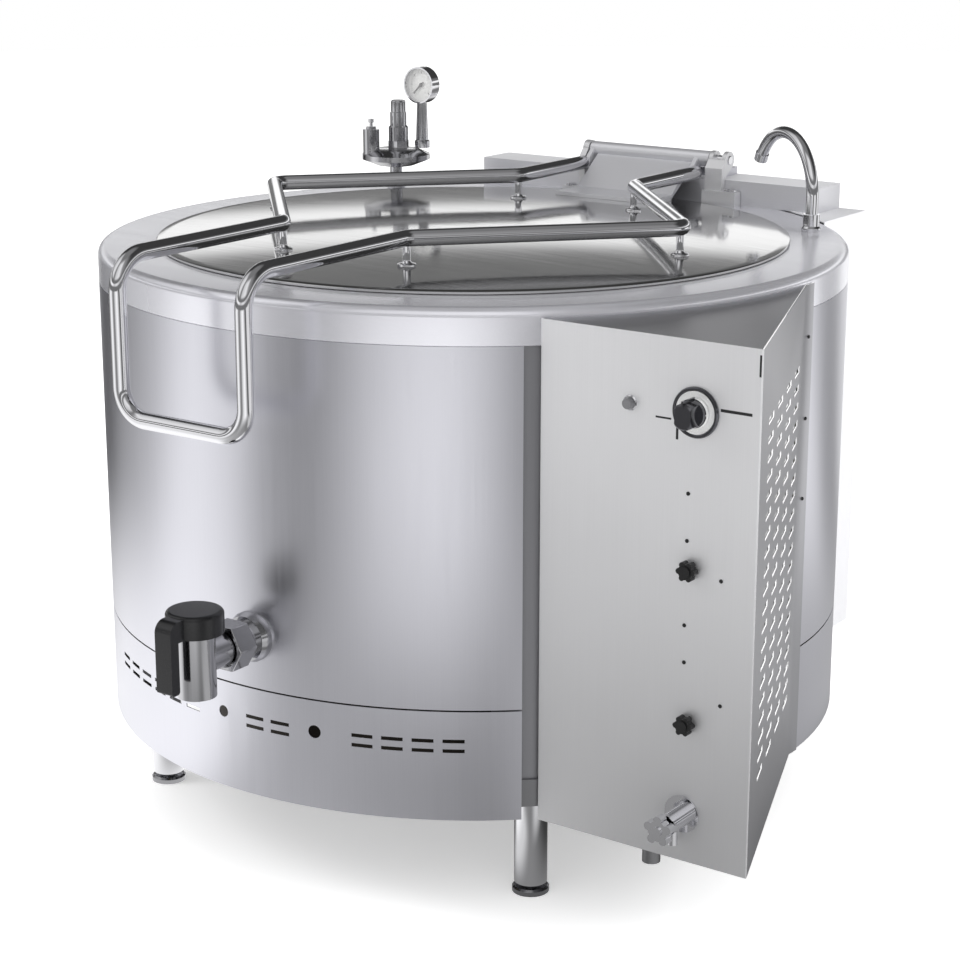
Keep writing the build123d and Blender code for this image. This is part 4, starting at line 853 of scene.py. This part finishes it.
# %% Rail posts
POST_PLACES = [(way * x, y) for way in (1, -1)
               for x, y in ((118, 299), (396, -18), (118, -334))]
POST_PROFILE = [(0.01, -0.2), (14, -0.2), (14, 2.4), (13.2, 3.4),
                (8.5, 4.2), (6.6, 6.5), (6, 9)]
POST_TOP = RAIL_Z - RAIL_R + 1  # a millimetre into the tube
posts = []
for number, (x, y) in enumerate(POST_PLACES, start=1):
    foot_z = float(dome_z(np.hypot(x, y)))
    profile = [(r, foot_z + z) for r, z in POST_PROFILE]
    profile += [(6, POST_TOP), (0.01, POST_TOP)]
    post = turned(f"rail_post_{number}", profile, tube_steel, centre=(x, y), steps=40)
    posts.append(fit(post, "lid", "chrome_steel"))
tell("posts", *posts)

# %% [markdown]
# ## Hinge and balance springs
# The lid turns on a chromed barrel across the back. A bent plate joins the rail to it,
# and two cast brackets hold it on the deck. The springs that balance the lid are wound
# inside the barrel. All of them could be drawn again, but the solids already have every
# bend and boss, so they are only dressed: joined, smoothed and eased at their edges.

# %% Hinge
leaf = clad("hinge_leaf", "hinge_plate", flue_steel,
            "lid", "polished_steel", edge_mm=0.8)
left = clad("hinge_bracket_left", "bracket_left", bracket_steel,
            "kettle", "casing_steel", edge_mm=0.8)
right = clad("hinge_bracket_right", "bracket_right", bracket_steel,
             "kettle", "casing_steel", edge_mm=0.8)
barrel = clad("hinge_shaft", "hinge_pin", chrome, "kettle", "chrome_steel")
bolts = clad("hinge_bolts", "bracket_bolts", chrome,
             "kettle", "chrome_steel", edge_mm=0.4)
springs = clad("balance_springs", "spring_coils", pipe_steel, "kettle", "pipe_steel")
tell("hinge", leaf, left, right, barrel, bolts, springs)

# %% [markdown]
# ## Water spout
# The spout is a swan neck: a straight stem and an arc of 93 mm radius that ends in a
# short collar. It can be turned, and it rests with its arm towards the back left, out
# of the lid's way. The stem is the start of the route and the arc is a circle stood
# upright in that direction.

# %% Water spout
STEM_X, STEM_Y, STEM_FOOT, STEM_MIDDLE = 425, 352, 908, 940
ARC_Z, ARC_R, SPOUT_TURN = 964, 93, radians(147)
SPOUT_R, SPOUT_BORE, TIP_R, TIP_BORE, TIP_LENGTH = 10.0, 8.0, 11.5, 8.2, 14
t = np.radians(np.linspace(180, 25, 40))
reach = ARC_R + ARC_R * np.cos(t)
arch = np.stack([
    STEM_X + reach * np.cos(SPOUT_TURN), STEM_Y + reach * np.sin(SPOUT_TURN),
    ARC_Z + ARC_R * np.sin(t)], axis=-1)
stem = [(STEM_X, STEM_Y, STEM_FOOT), (STEM_X, STEM_Y, STEM_MIDDLE)]
spout_route = np.concatenate([stem, arch]) * MM
spout = bent_tube("spout", spout_route, SPOUT_R, tube_steel, SPOUT_BORE)
fit(spout, "swan_spout", "chrome_steel", "swan_neck")
ahead = spout_route[-1] - spout_route[-2]
ahead /= np.linalg.norm(ahead)
collar_steps = np.array([2 - TIP_LENGTH, 0, 2]) * MM  # it goes 2 mm past the tube's end
collar_route = spout_route[-1] + np.outer(collar_steps, ahead)
collar = bent_tube("spout_tip", collar_route, TIP_R, chrome, TIP_BORE)
fit(collar, "swan_spout", "chrome_steel")
socket = clad("swan_ferrule", "spout_ferrule", chrome, "kettle", "chrome_steel")
tell("spout", spout, collar, socket)

# %% [markdown]
# ## Draw-off cock
# Boiled food leaves through a wide plug cock. Its body is a brass casting, turned,
# plated and buffed until it mirrors the floor. The plug inside turns with a moulded
# black cap, whose arm hangs down in front, so cap, arm and plug ride on the cock handle
# and the rest on the kettle. The flats and bores are exact in the solids, so all are
# dressed, with wider eased edges on the nut and the cap.

# %% Draw-off cock
pipe = clad("cock_pipe", "draw_off_pipe", cock_chrome, "kettle", "chrome_steel")
nut = clad("union_nut", "union_hexagon", cock_chrome,
           "kettle", "chrome_steel", edge_mm=1.5)
casting = clad("cock_body", "cock_casting", cock_chrome,
               "kettle", "chrome_steel", edge_mm=0.6)
cone = clad("cock_plug", "cock_cone", chrome, "cock_handle", "chrome_steel")
cap = clad("cock_handle", "cock_cap", black_cap,
           "cock_handle", "black_plastic", edge_mm=1.5)
tell("cock", pipe, nut, casting, cone, cap)

# %% [markdown]
# ## Gas control and igniter
# The gas knob sits in a bright pressed dish with a dark rim, and the igniter is a small
# push button beside it. Dish and knob are each one solid, so the rim and the grip are
# picked out by their place and take the dark plate. Four short dark bars lie on the
# panel: three are printed lines that show the positions of the knob, and one by the
# upper right corner is a fastening slot, its dark painted shade. They are bars a
# quarter of a millimetre thick, which reads as ink.

# %% Gas control and igniter
PANEL_Y, PRINT_THICK = -430.0, 0.25
KNOB_X, KNOB_Z, RIM_R, GRIP_DEPTH = 669.0, 795.0, 29.5, 8
dish = clad("gas_bezel", "gas_dish", bright_dish, "kettle", "chrome_steel", edge_mm=0.3)
centres = face_arrays(dish)[0] / MM
from_knob = np.hypot(centres[:, 0] - KNOB_X, centres[:, 2] - KNOB_Z)
second_finish(dish, dark_chrome, from_knob > RIM_R)
grip = clad("gas_knob", "gas_grip", bright_dish,
            "gas_knob", "chrome_steel", edge_mm=0.5)
centres = face_arrays(grip)[0] / MM
second_finish(grip, dark_chrome, centres[:, 1] < PANEL_Y - GRIP_DEPTH)
bush = clad("igniter_body", "igniter_bush", chrome, "kettle", "chrome_steel")
push = clad("igniter_button", "igniter_push", push_grey,
            "igniter_button", "black_plastic")
# Left, bottom, right and top of each bar; the last is the fastening slot, painted as
# shade.
lines = [(706, 801, 753, 805), (607, 779.5, 631, 782),
         (639, 754, 642.5, 773), (761.5, 855, 764.5, 884)]
bars = [[(x0, z0), (x1, z0), (x1, z1), (x0, z1)] for x0, z0, x1, z1 in lines]
marks = flat_bars("panel_marks", bars, PANEL_Y, PRINT_THICK, ink_and_slot_shade)
fit(marks, "kettle", "needle_black")
tell("gas control", dish, grip, bush, push, marks)

# %% [markdown]
# ## Level cocks, drain tap and screws
# Two black knobs open the test cocks that show the water level in the jacket. A plated
# tap drains it. The panel is held by small dark screws. The lobes of knobs and tap are
# in the solids, so an eased edge of about a millimetre is all that they still need.

# %% Level cocks, drain tap and screws
knobs = []
for end in ("upper", "lower"):
    node = f"level_knob_{end}"
    knobs.append(clad(node, f"level_grip_{end}", black_knob, node, "black_plastic",
                      edge_mm=1.0))
tap = clad("drain_tap_body", "drain_tap", chrome, "kettle", "chrome_steel", edge_mm=0.8)
wheel = clad("drain_tap_handle", "drain_wheel", chrome,
             "drain_handle", "chrome_steel", edge_mm=1.2)
screws = clad("panel_screws", "screw_heads", black_knob,
              "kettle", "chrome_steel", edge_mm=0.3)
tell("cocks and tap", *knobs, tap, wheel, screws)

# %% [markdown]
# ## Jacket safety group
# A bowl on the deck joins three things to the steam jacket: a safety valve, a small
# vacuum valve and a pressure gauge. All are turned brass with a chrome plate. Their
# steps are small, so new profiles would gain nothing over the dressed solids. The cap
# and the pin ride on bodies of their own, because they lift and drop.

# %% Safety group
bowl = clad("safety_manifold", "safety_bowl", cock_chrome,
            "kettle", "chrome_steel", edge_mm=0.6)
valve = clad("safety_valve_body", "safety_valve", cock_chrome,
             "kettle", "chrome_steel", edge_mm=0.6)
lift_cap = clad("safety_valve_cap", "safety_cap", cock_chrome,
                "safety_cap", "chrome_steel")
drop_pin = clad("vacuum_valve_pin", "vacuum_pin", chrome,
                "vacuum_pin", "chrome_steel", edge_mm=0.3)
tell("safety group", bowl, valve, lift_cap, drop_pin)

# %% [markdown]
# ## Pressure gauge
# The gauge has a plated case, a white enamelled dial, a needle and a glass. A scale of
# plain strokes runs round three quarters of the dial, with a longer stroke at every
# fifth place. A texture could draw them, but short bars stay sharp from any distance.

# %% Pressure gauge
GAUGE_X, GAUGE_Z, SCALE_R, STROKES = -407.0, 1090.0, 25.5, 31
SCALE_START, SCALE_END = 225, -45  # degrees from the right-hand side
LONG_STROKE, SHORT_STROKE, LONG_HALF, SHORT_HALF = 5.5, 3.0, 0.55, 0.3
STROKE_THICK = 0.08
case = clad("gauge_case", "gauge_body", chrome, "kettle", "chrome_steel", edge_mm=0.4)
face = clad("gauge_dial", "gauge_face", dial_paint, "kettle", "dial_white")
window = clad("gauge_glass", "gauge_window", gauge_glass, "kettle", "gauge_glass")
pointer = clad("gauge_needle", "gauge_pointer", ink_and_slot_shade,
               "gauge_needle", "needle_black")
turn = np.radians(np.linspace(SCALE_START, SCALE_END, STROKES))
long_stroke = np.arange(STROKES) % 5 == 0
inner = SCALE_R - np.where(long_stroke, LONG_STROKE, SHORT_STROKE)
half = np.where(long_stroke, LONG_HALF, SHORT_HALF)
edge = np.full(STROKES, SCALE_R)
radial = np.stack([np.cos(turn), np.sin(turn)], axis=-1)
across = np.stack([-np.sin(turn), np.cos(turn)], axis=-1)
corners = [radial * r[:, None] + across * w[:, None]
           for r, w in ((inner, half), (inner, -half), (edge, -half), (edge, half))]
strokes = np.stack(corners, axis=1) + np.array([GAUGE_X, GAUGE_Z])
dial_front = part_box("gauge_dial")[0][1] / MM
scale = flat_bars("gauge_scale", strokes, dial_front, STROKE_THICK, ink_and_slot_shade)
fit(scale, "kettle", "needle_black")
tell("gauge", case, face, window, pointer, scale)

# %% [markdown]
# ## Legs and feet
# Four round legs of polished tube carry the kettle. Each ends in a turned steel foot on
# a thread, which is screwed in or out until the kettle stands level. One loop dresses
# the four feet, and each rides on its own body.

# %% Legs and feet
legs = clad("leg_tubes", "legs", tube_steel, "kettle", "frame_steel")
feet = []
for corner in ("front_left", "front_right", "rear_left", "rear_right"):
    node = f"foot_{corner}"
    feet.append(clad(node, f"levelling_{corner}", foot_steel, node, "frame_steel",
                     edge_mm=0.5))
tell("legs", legs, *feet)

# %% [markdown]
# ## Inside and underneath
# The vessel, the steam jacket, the gas burner and their pipes are seen when the lid is
# open or the kettle is lifted. Each takes the finish of its real metal: the vessel is
# satin, the chamber round the flames is stained dark by heat, and mineral wool fills
# the casing. They differ only in finish, so a table and one loop do for all.

# %% Inside and underneath
INSIDE = {
    "base_frame": frame_steel, "inner_vessel": inner_steel, "steam_jacket": inner_steel,
    "chamber_wall": chamber_steel, "flue_duct": chamber_steel, "burner": burner_iron,
    "gas_valve": valve_brass, "gas_inlet_pipe": pipe_steel, "water_pipe": pipe_steel,
    "drain_pipe": pipe_steel, "level_column": pipe_steel, "insulation": mineral_wool,
}
SLOTS = {row["node"]: row["material_slot"] for row in frame["record"]["subparts"]}
inside = [clad(node, f"{node}_surface", finish, "kettle", SLOTS[node])
          for node, finish in INSIDE.items()]
tell("inside", *inside)
